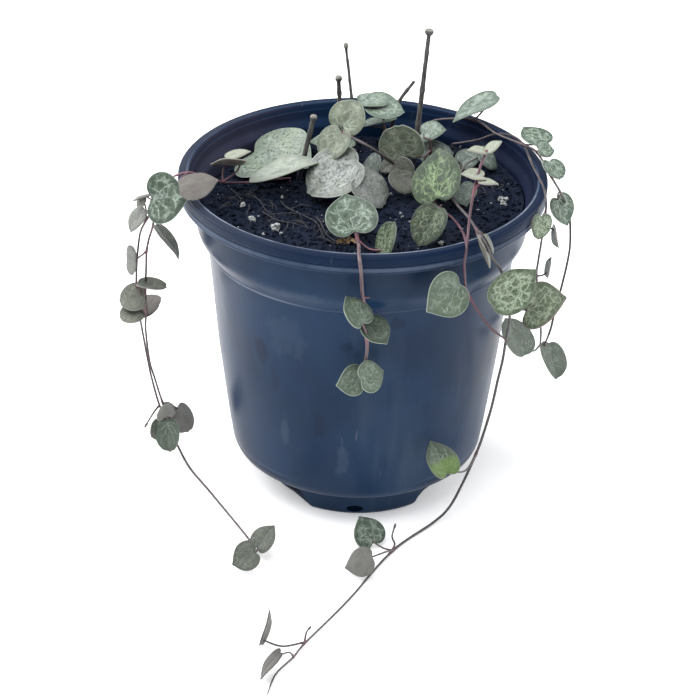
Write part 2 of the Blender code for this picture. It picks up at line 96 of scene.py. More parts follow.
def roughen(thing, amount, grain, seed=0.0):
    # pushes the surface in and out along its normals, as dry or knobbly matter is
    shift = Vector((seed, 2.0 * seed, -seed))
    moves = []
    for vertex in thing.data.vertices:
        place = vertex.co / (grain * mm) + shift
        moves.append(vertex.normal * noise.noise(place) * amount * mm)
    for vertex, move in zip(thing.data.vertices, moves):
        vertex.co += move


def smoothPath(points, step):
    # a curve through every point, with a new point about every step
    points = [Vector(p) for p in points]
    ends = [2 * points[0] - points[1]] + points + [2 * points[-1] - points[-2]]
    path = [points[0]]
    for i in range(len(points) - 1):
        a, b, c, d = ends[i:i + 4]
        pieces = max(1, round((c - b).length / step))
        for k in range(1, pieces + 1):
            t = k / pieces
            path.append(0.5 * (2 * b + (c - a) * t + (2 * a - 5 * b + 4 * c - d) * t * t
                               + (3 * b - a - 3 * c + d) * t * t * t))
    return path


def tubesAlong(name, runs, corners=8):
    # one curve object with a spline for each run, turned into a mesh
    clearSelection()
    bpy.ops.curve.primitive_bezier_curve_add()
    curve = bpy.context.object
    curve.data.splines.clear()
    for path, radii in runs:
        spline = curve.data.splines.new("POLY")
        spline.points.add(len(path) - 1)
        for point, place, radius in zip(spline.points, path, radii):
            point.co = (*(Vector(place) * mm), 1.0)
            point.radius = radius
    curve.data.dimensions = "3D"
    curve.data.bevel_depth = mm
    curve.data.bevel_resolution = corners // 2 - 2
    curve.data.use_fill_caps = True
    bpy.ops.object.convert(target="MESH")
    tubes = bpy.context.object
    tubes.name = name
    closeMesh(tubes)
    smoothShading(tubes, 60)
    return tubes


def spinProfile(name, profile, steps):
    # a single point is drawn out along the profile, which is then spun round the axis
    clearSelection()
    bpy.ops.mesh.primitive_plane_add(size=mm)
    thing = bpy.context.object
    thing.name = name
    bpy.ops.object.mode_set(mode="EDIT")
    bpy.ops.mesh.select_mode(type="VERT")
    bpy.ops.mesh.select_all(action="SELECT")
    bpy.ops.mesh.merge(type="CENTER")
    place = Vector((profile[0][0], 0.0, profile[0][1])) * mm
    bpy.ops.transform.translate(value=place)
    for radius, height in profile[1:]:
        following = Vector((radius, 0.0, height)) * mm
        bpy.ops.mesh.extrude_region_move(TRANSFORM_OT_translate={"value": following - place})
        place = following
    bpy.ops.mesh.select_all(action="SELECT")
    bpy.ops.mesh.spin(steps=steps, angle=math.tau, center=(0, 0, 0), axis=(0, 0, 1))
    bpy.ops.object.mode_set(mode="OBJECT")
    closeMesh(thing)
    return thing


# small helpers for materials

def addNode(tree, kind, sockets=None, **settings):
    node = tree.nodes.new(kind)
    for key, value in settings.items():
        setattr(node, key, value)
    for key, value in (sockets or {}).items():
        if isinstance(value, bpy.types.NodeSocket):
            tree.links.new(value, node.inputs[key])
        else:
            node.inputs[key].default_value = value
    return node


def calc(tree, operation, *values):
    return addNode(tree, "ShaderNodeMath", dict(enumerate(values)), operation=operation).outputs[0]


def times(tree, first, *others):
    for other in others:
        first = calc(tree, "MULTIPLY", first, other)
    return first


def timesPlus(tree, value, factor, offset):
    return calc(tree, "MULTIPLY_ADD", value, factor, offset)


def vectorCalc(tree, operation, *values):
    return addNode(tree, "ShaderNodeVectorMath", dict(enumerate(values)), operation=operation).outputs[0]


def lengthOf(tree, vector):
    return addNode(tree, "ShaderNodeVectorMath", {0: vector}, operation="LENGTH").outputs["Value"]


def distance(tree, x, y):
    return lengthOf(tree, addNode(tree, "ShaderNodeCombineXYZ", {0: x, 1: y}).outputs[0])


def coordinates(tree, place):
    # x, y and z of a place in millimetres
    inMillimetres = vectorCalc(tree, "MULTIPLY", place, (1.0 / mm, 1.0 / mm, 1.0 / mm))
    return addNode(tree, "ShaderNodeSeparateXYZ", {0: inMillimetres}).outputs


def lineAt(tree, value, middle, outer, inner, strength=1.0):
    # a thin line: full within inner of its middle, gone past outer
    away = calc(tree, "ABSOLUTE", calc(tree, "SUBTRACT", value, middle))
    return fade(tree, away, outer, inner, 0.0, strength)


def opaque(colour):
    return colour if isinstance(colour, bpy.types.NodeSocket) else (*colour, 1.0)


def fade(tree, value, low, high, start=0.0, end=1.0):
    # a soft step from start to end while the value goes from low to high
    sockets = {"Value": value, "From Min": low, "From Max": high, "To Min": start, "To Max": end}
    return addNode(tree, "ShaderNodeMapRange", sockets, interpolation_type="SMOOTHSTEP").outputs[0]


def mixColour(tree, amount, first, second, kind="MIX"):
    sockets = {0: amount, 6: opaque(first), 7: opaque(second)}
    return addNode(tree, "ShaderNodeMix", sockets, data_type="RGBA", blend_type=kind).outputs[2]


def noiseAt(tree, vector, scale, detail=3.0, roughness=0.55):
    sockets = {"Vector": vector, "Scale": scale, "Detail": detail, "Roughness": roughness}
    return addNode(tree, "ShaderNodeTexNoise", sockets).outputs[0]


def stretched(tree, vector, scale):
    return addNode(tree, "ShaderNodeMapping", {"Vector": vector, "Scale": scale}).outputs[0]


def newGroup(name, inputs, outputs):
    group = bpy.data.node_groups.new(name, "ShaderNodeTree")
    for label, kind, value in inputs:
        socket = group.interface.new_socket(name=label, in_out="INPUT", socket_type=kind)
        if value is not None:
            socket.default_value = value
    for label in outputs:
        group.interface.new_socket(name=label, in_out="OUTPUT", socket_type="NodeSocketFloat")
    return group, addNode(group, "NodeGroupInput").outputs, addNode(group, "NodeGroupOutput").inputs


def useGroup(tree, group, sockets):
    return addNode(tree, "ShaderNodeGroup", sockets, node_tree=group).outputs


def finishSkin(tree, shader, colour, roughness, height, depth, strength=1.0):
    # colour, roughness and a bump whose height is worth depth millimetres
    tree.links.new(colour, shader.inputs["Base Color"])
    tree.links.new(roughness, shader.inputs["Roughness"])
    sockets = {"Height": height, "Distance": depth * mm, "Strength": strength}
    tree.links.new(addNode(tree, "ShaderNodeBump", sockets).outputs[0], shader.inputs["Normal"])


def newMaterial(name):
    material = bpy.data.materials.new(name)
    material.use_nodes = True
    return material, material.node_tree, material.node_tree.nodes["Principled BSDF"]


def objectPlace(tree):
    return addNode(tree, "ShaderNodeTexCoord").outputs["Object"]


# camera, light and floor

cameraLook = {
    "aim": (-3.1, 0.0, 48.1), "distance": 867.0, "downTilt": 30.0, "roll": 1.34,
    "lens": 121.6, "sensor": 36.0, "nearest": 50.0, "farthest": 20000.0,
}


def addCamera(look):
    tilt = math.radians(look["downTilt"])
    roll = math.radians(look["roll"])
    back = Vector((0.0, -math.cos(tilt), math.sin(tilt)))
    right = Vector((1.0, 0.0, 0.0))
    up = back.cross(right)
    across = right * math.cos(roll) + up * math.sin(roll)
    upright = up * math.cos(roll) - right * math.sin(roll)
    clearSelection()
    bpy.ops.object.camera_add(location=(Vector(look["aim"]) + back * look["distance"]) * mm)
    camera = bpy.context.object
    camera.rotation_euler = Matrix((across, upright, back)).transposed().to_euler()
    camera.data.lens = look["lens"]
    camera.data.sensor_width = look["sensor"]
    camera.data.clip_start = look["nearest"] * mm
    camera.data.clip_end = look["farthest"] * mm
    bpy.context.scene.camera = camera


studio = {
    "worldColour": (0.97, 0.98, 1.0), "worldStrength": 0.46,
    # place, size and power of each soft box, and where they all point
    "boxes": [((-300, -350, 1350), 1400, 24.0), ((-1000, 700, 700), 850, 16.0), ((1100, 520, 650), 900, 10.0)],
    "lightAim": (0, 0, 60),
    "floorSize": 9000, "floorColour": (0.97, 0.97, 0.97), "floorGlow": 0.28, "floorRoughness": 0.9,
    "floorGloss": 0.2,
}


def addSoftLight(place, size, power, aim):
    clearSelection()
    bpy.ops.object.light_add(type="AREA", location=Vector(place) * mm)
    light = bpy.context.object
    light.data.size = size * mm
    light.data.energy = power
    towards = Vector(aim) * mm - light.location
    light.rotation_euler = towards.to_track_quat("-Z", "Y").to_euler()


def addStudio(look):
    world = bpy.data.worlds.new("paleStudio")
    bpy.context.scene.world = world
    world.use_nodes = True
    background = world.node_tree.nodes["Background"]
    background.inputs["Color"].default_value = opaque(look["worldColour"])
    background.inputs["Strength"].default_value = look["worldStrength"]
    for place, size, power in look["boxes"]:
        addSoftLight(place, size, power, look["lightAim"])

    material, tree, shader = newMaterial("paleFloor")
    cloud = noiseAt(tree, objectPlace(tree), 3.0)
    pale = Vector(look["floorColour"])
    tree.links.new(mixColour(tree, cloud, pale * 0.99, pale), shader.inputs["Base Color"])
    shader.inputs["Roughness"].default_value = look["floorRoughness"]
    shader.inputs["Specular IOR Level"].default_value = look["floorGloss"]
    shader.inputs["Emission Color"].default_value = (1.0, 1.0, 1.0, 1.0)
    shader.inputs["Emission Strength"].default_value = look["floorGlow"]
    clearSelection()
    bpy.ops.mesh.primitive_plane_add(size=look["floorSize"] * mm)
    floor = bpy.context.object
    floor.name = "paleFloorSheet"
    floor.data.materials.append(material)
    bpy.context.scene.view_settings.view_transform = "Standard"


addCamera(cameraLook)
addStudio(studio)
print("camera and studio are set")


# pot

pot = {
    "steps": 168,
    # openings between the feet and the small arch at the front
    "footCount": 3, "footTurn": -25.0, "openingTop": 27.5, "openingBottom": 37.5, "openingHeight": 8.5,
    "openingRound": 4.5, "openingDepth": 14.0, "openingRadius": 38.0, "cutBelow": 3.0,
    "archWidth": 6.2, "archHeight": 1.5, "archLevel": 2.7, "archDepth": 9.0, "archRadius": 38.7,
    # the plastic's own colours and marks, a colour for painted shade and dark scuffs, painted highlights on the
    # lip and bead, a grey for dust and painted sheen, and painted shade for the inner wall
    "navy": (0.0074, 0.0280, 0.0710), "deepNavy": (0.0039, 0.0178, 0.0485), "bloom": (0.040, 0.066, 0.105),
    "scratch": (0.16, 0.19, 0.25), "shadeAndScuff": (0.0035, 0.0100, 0.0320), "lipHighlight": (0.19, 0.22, 0.28),
    "beadHighlight": (0.060, 0.085, 0.135), "dustAndSheenColour": (0.056, 0.063, 0.080),
    "wallShade": (0.0070, 0.0090, 0.0260), "warmStain": (0.036, 0.030, 0.048), "peatDust": (0.035, 0.040, 0.055),
    "roughness": 0.32, "gloss": 0.135, "dullGloss": 0.05,
    # where the painted highlight lines run
    "stepLevel": 94.5, "beadLevel": 115.6, "cornerLevel": 17.6, "highlightRadius": 61.6,
    # the band of the lip from this radius and height, and the inner wall from this height, are duller
    "dullBandRadius": 63.9, "dullBandLow": 116.6, "dullWallLow": 101.0,
    # rubbed marks on the wall: x, y, z, half width, half height, darkness (below 0 is a pale mark)
    "marks": [(-33.4, -39.8, 70.0, 2.6, 5.5, 0.65), (-29.2, -41.7, 60.0, 2.0, 7.0, 0.35),
              (-12.8, -47.9, 45.0, 2.0, 6.5, 0.5), (13.1, -52.6, 89.0, 3.0, 2.6, 0.5),
              (-4.6, -53.0, 80.0, 2.6, 2.2, 0.4), (-25.2, -42.0, 39.0, 1.8, 8.0, -0.4),
              (-5.0, -47.8, 30.0, 2.6, 7.0, -0.35), (-20.1, -55.3, 99.0, 9.0, 2.2, -0.3),
              (-48.4, -22.6, 82.0, 3.0, 9.0, -0.5), (-24.0, -46.0, 80.0, 8.0, 9.0, -0.25)],
    # radius, height and rounding of each corner, from under the middle up the outside and down the inside
    "profile": [
        (0.0, 0.0, 0), (35.4, 0.0, 0.5), (36.3, 1.2, 0.5), (36.8, 5.0, 1), (37.6, 9.6, 1), (39.4, 11.3, 0.8),
        (42.4, 12.0, 1.2), (44.9, 13.0, 0.7), (45.9, 15.2, 1.0), (47.4, 25.0, 3), (51.1, 55.0, 4),
        (54.6, 93.8, 0.15), (55.05, 94.0, 0.15), (55.20, 94.5, 0.2), (55.10, 95.0, 0.2), (55.9, 96.2, 1.0),
        (58.6, 100.6, 2.5), (58.9, 112.1, 1.4), (61.2, 115.0, 1),
        (62.0, 118.6, 0.5), (63.4, 118.6, 0.5), (63.9, 114.1, 0.2), (64.5, 113.9, 0.2), (64.8, 114.5, 0.3),
        (64.75, 116.4, 0.25), (64.55, 116.8, 0.2), (64.95, 117.3, 0.3), (65.0, 119.8, 0.5), (64.2, 120.4, 0.5),
        (61.4, 120.4, 0.4), (60.9, 119.6, 0.4), (60.55, 118.2, 0.15), (60.25, 118.0, 0.15), (59.8, 114.9, 0.9),
        (57.4, 112.3, 0.9), (57.35, 108.0, 0.5), (57.3, 101.5, 1), (54.1, 95.8, 1), (53.1, 93.6, 1),
        (49.9, 55.0, 4), (46.2, 25.2, 3), (44.8, 17.3, 1.5), (42.0, 13.9, 1), (36.2, 10.6, 1), (35.4, 4.0, 1),
        (33.9, 1.6, 0.5), (0.0, 1.6, 0),
    ],
}


def roundedProfile(profile, pieces=3):
    # each corner with a radius becomes a short arc
    line = [profile[0][:2]]
    for before, corner, after in zip(profile, profile[1:], profile[2:]):
        at = Vector(corner[:2])
        back = Vector(before[:2]) - at
        ahead = Vector(after[:2]) - at
        reach = min(corner[2], 0.45 * back.length, 0.45 * ahead.length)
        start = at + back.normalized() * reach
        stop = at + ahead.normalized() * reach
        for k in range(pieces + 1):
            t = k / pieces
            line.append(tuple((1 - t) ** 2 * start + 2 * t * (1 - t) * at + t * t * stop))
    line.append(profile[-1][:2])
    return line


def makePotPlastic(look, name, gloss):
    material, tree, shader = newMaterial(name)
    place = objectPlace(tree)
    x, y, z = coordinates(tree, place)
    radius = distance(tree, x, y)
    clouds = noiseAt(tree, place, 22.0, 4.0)
    smears = noiseAt(tree, stretched(tree, place, (60.0, 60.0, 9.0)), 1.0, 3.0, 0.6)
    colour = mixColour(tree, fade(tree, clouds, 0.35, 0.65), look["deepNavy"], look["navy"])
    # dull bloom where hands and soil have rubbed, more of it on the lower body
    bloom = times(tree, fade(tree, smears, 0.5, 0.78), fade(tree, z, 105, 20, 0.25, 0.5))
    colour = mixColour(tree, bloom, colour, look["bloom"])
    # greyish mark on the left side: partly dust, partly a painted sheen where the light falls
    dustAndSheen = times(tree, fade(tree, x, -36, -54, 0.0, 0.55), fade(tree, smears, 0.35, 0.62),
                  fade(tree, z, 106, 90, 0.25, 1.0))
    colour = mixColour(tree, dustAndSheen, colour, look["dustAndSheenColour"])
    ragged = noiseAt(tree, stretched(tree, place, (330.0, 330.0, 130.0)), 1.0, 4.0, 0.65)
    ragged = timesPlus(tree, ragged, 2.6, -1.3)
    for *middle, wide, high, dark in look["marks"]:
        away = vectorCalc(tree, "SUBTRACT", place, Vector(middle) * mm)
        away = lengthOf(tree, stretched(tree, away, [1.0 / (size * mm) for size in (wide, wide, high)]))
        spot = fade(tree, calc(tree, "ADD", away, ragged), 1.15, 0.65, 0.0, abs(dark))
        colour = mixColour(tree, spot, colour, look["shadeAndScuff"] if dark > 0 else look["bloom"])
    # a few thin scratches
    slant = stretched(tree, place, (520.0, 520.0, 36.0))
    scratch = times(tree, fade(tree, noiseAt(tree, slant, 1.0, 2.0, 0.5), 0.70, 0.74),
                    fade(tree, noiseAt(tree, place, 34.0, 2.0), 0.52, 0.6))
    colour = mixColour(tree, times(tree, scratch, 0.2), colour, look["scratch"])
    # painted highlight along the moulded step, in the pale scratch colour, most at the left
    step = times(tree, lineAt(tree, z, look["stepLevel"], 0.6, 0.2), fade(tree, x, -10, -35, 0.12, 0.7),
                 fade(tree, clouds, 0.35, 0.6, 0.5, 1.0))
    colour = mixColour(tree, step, colour, look["scratch"])
    # lip: painted shade on the top face and the outer band, a painted highlight on the bead under it and a
    # painted highlight along the inner edge
    outer = fade(tree, radius, 62.2, 62.8)
    band = times(tree, outer, fade(tree, z, 116.0, 116.8))
    topFace = times(tree, fade(tree, radius, 61.8, 62.1), fade(tree, z, 119.6, 120.1))
    for part in (topFace, band):
        colour = mixColour(tree, times(tree, part, 0.5), colour, look["shadeAndScuff"])
    # dust with a painted sheen on the lip, a little all round and most at the left
    lipDustAndSheen = times(tree, calc(tree, "MAXIMUM", topFace, band), fade(tree, x, -15, -55, 0.05, 0.4))
    colour = mixColour(tree, lipDustAndSheen, colour, look["dustAndSheenColour"])
    beadHighlight = times(tree, lineAt(tree, z, look["beadLevel"], 1.0, 0.3), outer,
                 fade(tree, smears, 0.3, 0.65, 0.35, 1.0))
    colour = mixColour(tree, beadHighlight, colour, look["beadHighlight"])
    innerEdgeHighlight = times(tree, lineAt(tree, radius, look["highlightRadius"], 0.7, 0.25), fade(tree, z, 119.4, 120.1),
                 fade(tree, smears, 0.3, 0.6, 0.35, 1.0), fade(tree, y, 12, -25, 0.1, 1.0))
    colour = mixColour(tree, innerEdgeHighlight, colour, look["lipHighlight"])
    # painted shade on the turned-in lower corner, under a painted highlight along the moulded line
    beside = fade(tree, calc(tree, "ABSOLUTE", x), 19, 32)
    corner = times(tree, fade(tree, z, 17.2, 16.0), fade(tree, z, 11.3, 12.2), beside, 0.8)
    colour = mixColour(tree, corner, colour, look["shadeAndScuff"])
    cornerHighlight = times(tree, lineAt(tree, z, look["cornerLevel"], 0.7, 0.2, 0.45), beside)
    colour = mixColour(tree, cornerHighlight, colour, look["beadHighlight"])
    # inside, above the soil: painted shade on the right of the wall, a warm peat stain on its left and peat
    # dust
    innerWall = calc(tree, "ADD", fade(tree, z, 112, 116, 0.0, 2.5), 58.1)
    innerWall = calc(tree, "ADD", fade(tree, z, 118.5, 119.6, 0.0, 0.8), innerWall)
    inside = times(tree, fade(tree, calc(tree, "SUBTRACT", radius, innerWall), 0.2, -0.2),
                   fade(tree, z, 104, 105))
    rightWallShade = times(tree, inside, fade(tree, x, 10, 45, 0.15, 0.85))
    colour = mixColour(tree, rightWallShade, colour, look["wallShade"])
    warm = times(tree, inside, fade(tree, x, -12, -45, 0.0, 0.6))
    colour = mixColour(tree, warm, colour, look["warmStain"])
    peat = times(tree, inside, fade(tree, noiseAt(tree, place, 300.0, 4.0, 0.7), 0.56, 0.72), 0.35)
    colour = mixColour(tree, peat, colour, look["peatDust"])
    rough = timesPlus(tree, clouds, 0.16, look["roughness"] - 0.08)
    rimEdge = times(tree, fade(tree, radius, 63.2, 62.2), fade(tree, z, 117.5, 119.0))
    for part, amount in ((bloom, 0.25), (inside, 0.3), (rimEdge, 0.3)):
        rough = timesPlus(tree, part, amount, rough)
    shader.inputs["Specular IOR Level"].default_value = gloss
    # fine turning lines round the wall, the scratches and a fine grain
    rings = noiseAt(tree, stretched(tree, place, (3.0, 3.0, 900.0)), 1.0, 2.0)
    height = timesPlus(tree, rings, 0.35, times(tree, scratch, -0.8))
    height = timesPlus(tree, noiseAt(tree, place, 1400.0, 2.0), 0.25, height)
    finishSkin(tree, shader, colour, rough, height, 0.05, 0.7)
    return material


def makeFootCutters(look):
    cutters = []
    tall = look["openingHeight"] + look["cutBelow"]
    for index in range(look["footCount"]):
        clearSelection()
        bpy.ops.mesh.primitive_cube_add(size=mm)
        cutter = bpy.context.object
        cutter.scale = (look["openingDepth"], look["openingTop"], tall)
        cutter.location = Vector((look["openingRadius"], 0.0, 0.5 * tall - look["cutBelow"])) * mm
        applyPlace(cutter)
        for vertex in cutter.data.vertices:
            if vertex.co.z < 0.0:
                vertex.co.y *= look["openingBottom"] / look["openingTop"]
        # the two upper edges that run outwards are rounded
        bpy.ops.object.mode_set(mode="EDIT")
        bpy.ops.mesh.select_mode(type="EDGE")
        bpy.ops.mesh.select_all(action="DESELECT")
        bpy.ops.object.mode_set(mode="OBJECT")
        for edge in cutter.data.edges:
            a, b = (cutter.data.vertices[i].co for i in edge.vertices)
            edge.select = min(a.z, b.z) > 0.0 and abs(a.y - b.y) < 1e-6
        bpy.ops.object.mode_set(mode="EDIT")
        bpy.ops.mesh.bevel(offset=look["openingRound"] * mm, segments=6)
        bpy.ops.object.mode_set(mode="OBJECT")
        cutter.rotation_euler = (0, 0, math.radians(look["footTurn"] + 360.0 / look["footCount"] * index))
        applyPlace(cutter)
        cutters.append(cutter)
    clearSelection()
    halfWidth = 0.5 * look["archWidth"]
    bpy.ops.mesh.primitive_cylinder_add(vertices=28, radius=halfWidth * mm, depth=look["archDepth"] * mm,
                                        location=(0, -look["archRadius"] * mm, 0), rotation=(math.pi / 2, 0, 0))
    arch = bpy.context.object
    applyPlace(arch)
    for vertex in arch.data.vertices:
        vertex.co.z = vertex.co.z * look["archHeight"] / halfWidth + look["archLevel"] * mm
    return cutters + [arch]


def buildPot(look):
    body = spinProfile("potBody", roundedProfile(look["profile"]), look["steps"])
    for cutter in makeFootCutters(look):
        applyModifier(body, "opening", "BOOLEAN", object=cutter, operation="DIFFERENCE", solver="EXACT")
        bpy.data.objects.remove(cutter)
    smoothShading(body, 32)
    body.data.materials.append(makePotPlastic(look, "navyPlastic", look["gloss"]))
    body.data.materials.append(makePotPlastic(look, "dullNavyPlastic", look["dullGloss"]))
    for polygon in body.data.polygons:
        x, y, z = polygon.center / mm
        away = math.hypot(x, y)
        # half way between the inner and the outer face of the collar
        middle = min(58.1 + 0.85 * max(0.0, z - 112.2), 60.5 + 0.2 * max(0.0, z - 115.0))
        onBand = away > look["dullBandRadius"] and z > look["dullBandLow"]
        onInnerWall = away < middle and z > look["dullWallLow"]
        polygon.material_index = 1 if onBand or onInnerWall else 0
    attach(body, "root")
    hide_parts("pot")


buildPot(pot)
print("pot is made")


# soil with its crumbs, perlite and roots

soil = {
    "level": 109.3, "slopeX": 0.05, "slopeY": -0.02, "mound": 1.2, "radius": 56.9, "steps": 220,
    "side": [(0.0, 2.0), (33.4, 2.0), (34.9, 4.2), (35.7, 10.9), (41.6, 14.3), (44.3, 17.6), (45.7, 25.4),
             (52.7, 94.0), (53.7, 96.2), (56.9, 101.8), (56.9, 107.0)],
    "ringGap": 1.05, "lumps": 1.0, "grit": 0.55, "gloss": 0.14,
    "black": (0.0045, 0.0085, 0.0210), "peat": (0.0085, 0.0140, 0.0300), "fleck": (0.060, 0.070, 0.095),
    # one crumb in ten is larger
    "crumbs": 3400, "crumbSizes": (0.4, 1.5), "usualShare": 0.9, "larger": 1.6, "margin": 1.2,
    "crumbKinds": 5, "crumbUneven": 0.9, "seed": 11,
}


def soilHeight(x, y):
    away = math.hypot(x, y)
    return (soil["level"] + soil["slopeX"] * x + soil["slopeY"] * y
            + soil["mound"] * (1.0 - (away / soil["radius"]) ** 2))


def soilTop(x, y):
    # the mound with rolling lumps and sharper grit on them
    rolling = noise.noise(Vector((x, y, 3.0)) / 9.0) + 0.5 * noise.noise(Vector((x, y, 9.0)) / 4.0)
    grit = noise.turbulence(Vector((x, y, 5.0)) / 2.2, 3, True)
    return soilHeight(x, y) + (soil["lumps"] * rolling + soil["grit"] * (2.0 * grit - 0.9))


def placeOnSoil(rand, reach):
    away = reach * math.sqrt(rand.random())
    angle = rand.uniform(0.0, math.tau)
    return away * math.cos(angle), away * math.sin(angle)


def makeSoilMaterial(look):
    material, tree, shader = newMaterial("darkPeat")
    place = objectPlace(tree)
    lumps = noiseAt(tree, place, 240.0, 5.0, 0.7)
    grains = addNode(tree, "ShaderNodeTexVoronoi", {"Vector": place, "Scale": 900.0}).outputs[0]
    colour = mixColour(tree, fade(tree, lumps, 0.38, 0.68), look["black"], look["peat"])
    fleck = times(tree, fade(tree, noiseAt(tree, place, 800.0, 3.0, 0.7), 0.62, 0.72), 0.55)
    colour = mixColour(tree, fleck, colour, look["fleck"])
    rough = fade(tree, lumps, 0.3, 0.7, 0.75, 1.0)
    shader.inputs["Specular IOR Level"].default_value = look["gloss"]
    finishSkin(tree, shader, colour, rough, timesPlus(tree, grains, 0.6, lumps), 0.7)
    return material


def makeCrumbKinds(count, uneven):
    kinds = []
    for index in range(count):
        clearSelection()
        bpy.ops.mesh.primitive_ico_sphere_add(subdivisions=1, radius=0.5)
        crumb = bpy.context.object
        for vertex in crumb.data.vertices:
            vertex.co *= 1.0 + uneven * noise.noise(vertex.co * 2.6 + Vector((index * 5.1, 0, 0)))
            vertex.co.z *= 0.55 + 0.1 * index
            vertex.co.x *= 1.0 + 0.25 * (index % 3)
        kinds.append(crumb)
    return kinds


def scatterCrumbs(name, places, material, count, uneven):
    # places: position, size, turn; the kinds of crumb take turns, and all the copies become one piece
    kinds = makeCrumbKinds(count, uneven)
    verts, faces = [], []
    for index, (position, size, turn) in enumerate(places):
        crumb = kinds[index % count].data
        first = len(verts)
        spin = turn.to_matrix()
        for vertex in crumb.vertices:
            verts.append((Vector(position) + spin @ (vertex.co * size)) * mm)
        for polygon in crumb.polygons:
            faces.append([first + i for i in polygon.vertices])
    for crumb in kinds:
        bpy.data.objects.remove(crumb)
    clearSelection()
    mesh = bpy.data.meshes.new(name)
    mesh.from_pydata(verts, [], faces)
    piece = bpy.data.objects.new(name, mesh)
    bpy.context.scene.collection.objects.link(piece)
    mesh.materials.append(material)
    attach(piece, "root")
    return piece


def buildSoil(look):
    top = []
    away = look["radius"]
    while away > look["ringGap"]:
        top.append((away, look["level"]))
        away -= look["ringGap"]
    bed = spinProfile("soilBed", look["side"] + top + [(0.0, look["level"])], look["steps"])
    for vertex in bed.data.vertices:
        x, y, z = vertex.co / mm
        if z > look["level"] - 1.0:
            vertex.co.z = soilTop(x, y) * mm
    smoothShading(bed, 70)
    peat = makeSoilMaterial(look)
    bed.data.materials.append(peat)
    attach(bed, "root")
    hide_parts("soil")

    rand = random.Random(look["seed"])
    places = []
    for _ in range(look["crumbs"]):
        x, y = placeOnSoil(rand, look["radius"] - look["margin"])
        size = rand.uniform(*look["crumbSizes"])
        size *= 1.0 if rand.random() < look["usualShare"] else look["larger"]
        turn = Vector((rand.uniform(-1, 1), rand.uniform(-1, 1), rand.uniform(-1, 1))).to_track_quat("Z", "Y")
        places.append(((x, y, soilTop(x, y) + 0.18 * size), size, turn))
    crumbs = scatterCrumbs("soilCrumbs", places, peat, look["crumbKinds"], look["crumbUneven"])
    smoothShading(crumbs, 45)


trim = {
    # x, y, size of each perlite grain
    "perlite": [(-42.0, -4.9, 1.8), (-38.1, -15.8, 2.2), (-29.6, -24.8, 2.7), (-37.8, -29.7, 1.0),
                (-33.6, -28.4, 1.2), (49.3, -6.2, 1.9), (50.3, -3.6, 1.7), (48.4, -2.6, 1.6),
                (27.0, -37.0, 1.5), (14.0, -18.3, 1.2), (13.3, -13.9, 1.0), (9.8, 1.6, 1.2),
                (41.0, 52.5, 1.6), (50.1, 40.5, 1.8), (52.5, 30.9, 1.5), (-28.4, 0.6, 1.0),
                (-27.7, -28.1, 1.1), (36.0, 42.0, 1.0), (16.5, -20.5, 1.0)],
    "white": (0.46, 0.48, 0.47), "shade": (0.16, 0.18, 0.20), "algae": (0.20, 0.22, 0.12),
    "specks": 170, "speckSizes": (0.25, 0.75), "reach": 55.0,
    # roots as points on the soil, the last number is how high the run arches
    "mainRoots": [
        ([(-41.1, 5.8), (-36.7, -2.3), (-32.4, -11.0), (-25.9, -14.3), (-18.0, -13.1)], 1.8),
        ([(-28.7, -3.1), (-26.0, -10.7), (-18.7, -17.5), (-15.4, -23.9), (-12.9, -30.9), (-8.9, -36.2)], 2.4),
        ([(-25.3, -7.1), (-21.4, -6.5), (-17.3, -7.7)], 1.2),
        ([(-16.0, -15.1), (-14.2, -22.2), (-12.1, -29.3), (-8.1, -37.8), (-2.7, -39.0)], 2.0),
        ([(-34.8, -9.8), (-29.6, -19.3), (-22.5, -21.6), (-15.3, -26.5)], 1.5),
        ([(-47.1, 10.4), (-44.2, 3.3), (-41.6, -1.7)], 1.2),
    ],
    "rootRadius": 0.36, "rootletRadius": 0.15, "rootletReach": (1.5, 5.0),
    # tufts of fibres: x, y, spread, count
    "fibres": [(-27, -11, 9, 14), (-43, 1, 8, 14), (-13, -28, 7, 8), (30, 38, 12, 8), (44, 12, 9, 12)],
    "fibreStep": 2.1, "fibreRadii": (0.09, 0.24),
    "rootDark": (0.014, 0.017, 0.030), "rootPale": (0.036, 0.035, 0.040),
    # x, y, turn, size of each flake of the torn husk
    "huskFlakes": [(-6.4, -37.0, 0.2, 2.6), (-4.2, -36.4, 1.1, 2.2), (-2.8, -37.6, -0.7, 1.8),
                   (-5.2, -38.4, 2.2, 1.6)],
    "huskDark": (0.25, 0.16, 0.08), "husk": (0.50, 0.36, 0.19), "seed": 5,
}


def makePerlite(look):
    material, tree, shader = newMaterial("whitePerlite")
    place = objectPlace(tree)
    pores = noiseAt(tree, place, 1500.0, 4.0, 0.7)
    colour = mixColour(tree, fade(tree, pores, 0.38, 0.6), look["shade"], look["white"])
    darkTint = times(tree, fade(tree, noiseAt(tree, place, 420.0), 0.5, 0.75), 0.5)
    colour = mixColour(tree, darkTint, colour, look["algae"])
    finishSkin(tree, shader, colour, fade(tree, pores, 0.2, 0.8, 0.95, 0.75), pores, 0.35)
    return material


def makeRootMaterial(look, name, dark, pale):
    material, tree, shader = newMaterial(name)
    place = objectPlace(tree)
    patch = noiseAt(tree, place, 260.0, 3.0)
    fine = noiseAt(tree, place, 1600.0, 3.0, 0.7)
    colour = mixColour(tree, fade(tree, patch, 0.38, 0.66), dark, pale)
    colour = mixColour(tree, times(tree, fade(tree, fine, 0.5, 0.7), 0.45), colour, look["rootDark"])
    finishSkin(tree, shader, colour, fade(tree, fine, 0.3, 0.7, 0.7, 0.95), fine, 0.15)
    return material


